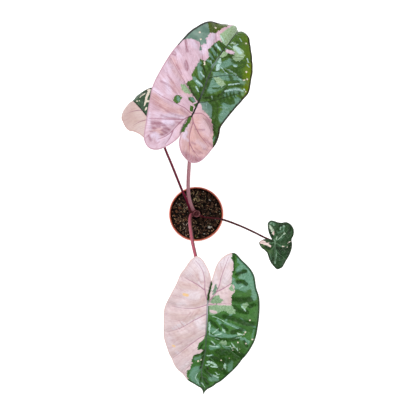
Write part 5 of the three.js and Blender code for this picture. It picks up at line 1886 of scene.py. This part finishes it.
def build_sheaths():
    red = sheath_material("sheath_red", [(156, 82, 88), (112, 46, 54), (216, 160, 156)])
    gather("sheath_ring", [wrapped_sheet(*FRESH_SHEATH)], red)
    brown = sheath_material("sheath_husk", [(126, 88, 62), (92, 62, 44), (166, 128, 98)])
    gather("sheath_husks", [wrapped_sheet(*husk) for husk in HUSKS], brown)


FLOOR_REACH = 20000
# The studio's large square lights: place and target in metres, side, watts and colour.
LIGHTS = {
    "key": ((-0.9, 1.0, 3.0), (0, 0, 0.25), 1.7, 80, (0.96, 0.98, 1)),
    "fill": ((0.3, -1.9, 2.4), (0, 0, 0.25), 1.2, 26, (1, 0.99, 0.97)),
    "window": ((1.9, 1.0, 2.2), (0, 0, 0.3), 0.45, 14, (1, 0.99, 0.97)),
}


def soft_light(name, place, target, size, power, colour):
    data = bpy.data.lights.new(name, "AREA")
    data.shape = "SQUARE"
    data.size = size
    data.energy = power
    data.color = colour
    lamp = bpy.data.objects.new(name, data)
    bpy.context.scene.collection.objects.link(lamp)
    lamp.location = place
    lamp.rotation_euler = (Vector(target) - Vector(place)).to_track_quat("-Z", "Y").to_euler()
    lamp.visible_camera = False


def floor_material():
    """A ground that glows a little, so that it looks white under every leaf."""
    shader = Shader(
        "floor_white", Base_Color=(0.5, 0.5, 0.5, 1), Roughness=0.9, Specular_IOR_Level=0.0,
        Emission_Color=(1, 1, 1, 1), Emission_Strength=0.86,
    )
    return shader.material


def build_studio():
    """A white floor, a dim white world and three soft lights."""
    low, high = -FLOOR_REACH, FLOOR_REACH
    corners = [(low, low, 0), (high, low, 0), (high, high, 0), (low, high, 0)]
    floor = mesh_object("floor", corners, [[0, 1, 2, 3]], [floor_material()], smooth=False)
    world = bpy.data.worlds.new("studio")
    bpy.context.scene.world = world
    world.use_nodes = True
    backdrop = world.node_tree.nodes["Background"]
    backdrop.inputs["Color"].default_value = (1, 1, 1, 1)
    backdrop.inputs["Strength"].default_value = 0.22
    for name, light in LIGHTS.items():
        soft_light(name, *light)
    bpy.context.scene.view_settings.view_transform = "Standard"


def build_camera():
    """The camera looks straight down, as in the photograph."""
    data = bpy.data.cameras.new("photo")
    data.lens = 54.6
    data.sensor_width = 36
    data.clip_start = 0.01
    camera = bpy.data.objects.new("photo", data)
    bpy.context.scene.collection.objects.link(camera)
    camera.location = (0.0261, 0.0133, 1.5)
    bpy.context.scene.camera = camera


build_camera()
build_studio()
build_pot()
build_soil()
build_litter()
build_stem()
build_sheaths()
for leaf_name, stalk_slot, leaf_slot, grid in (
    ("north", "stalk_pink", "leaf_pink", 1.7),
    ("south", "stalk_pink", "leaf_pink", 1.7),
    ("west", "stalk_red", "leaf_pink", 1.4),
    ("east", "stalk_red", "leaf_green", 1.2),
):
    build_petiole(leaf_name)
    build_blade(leaf_name, grid)
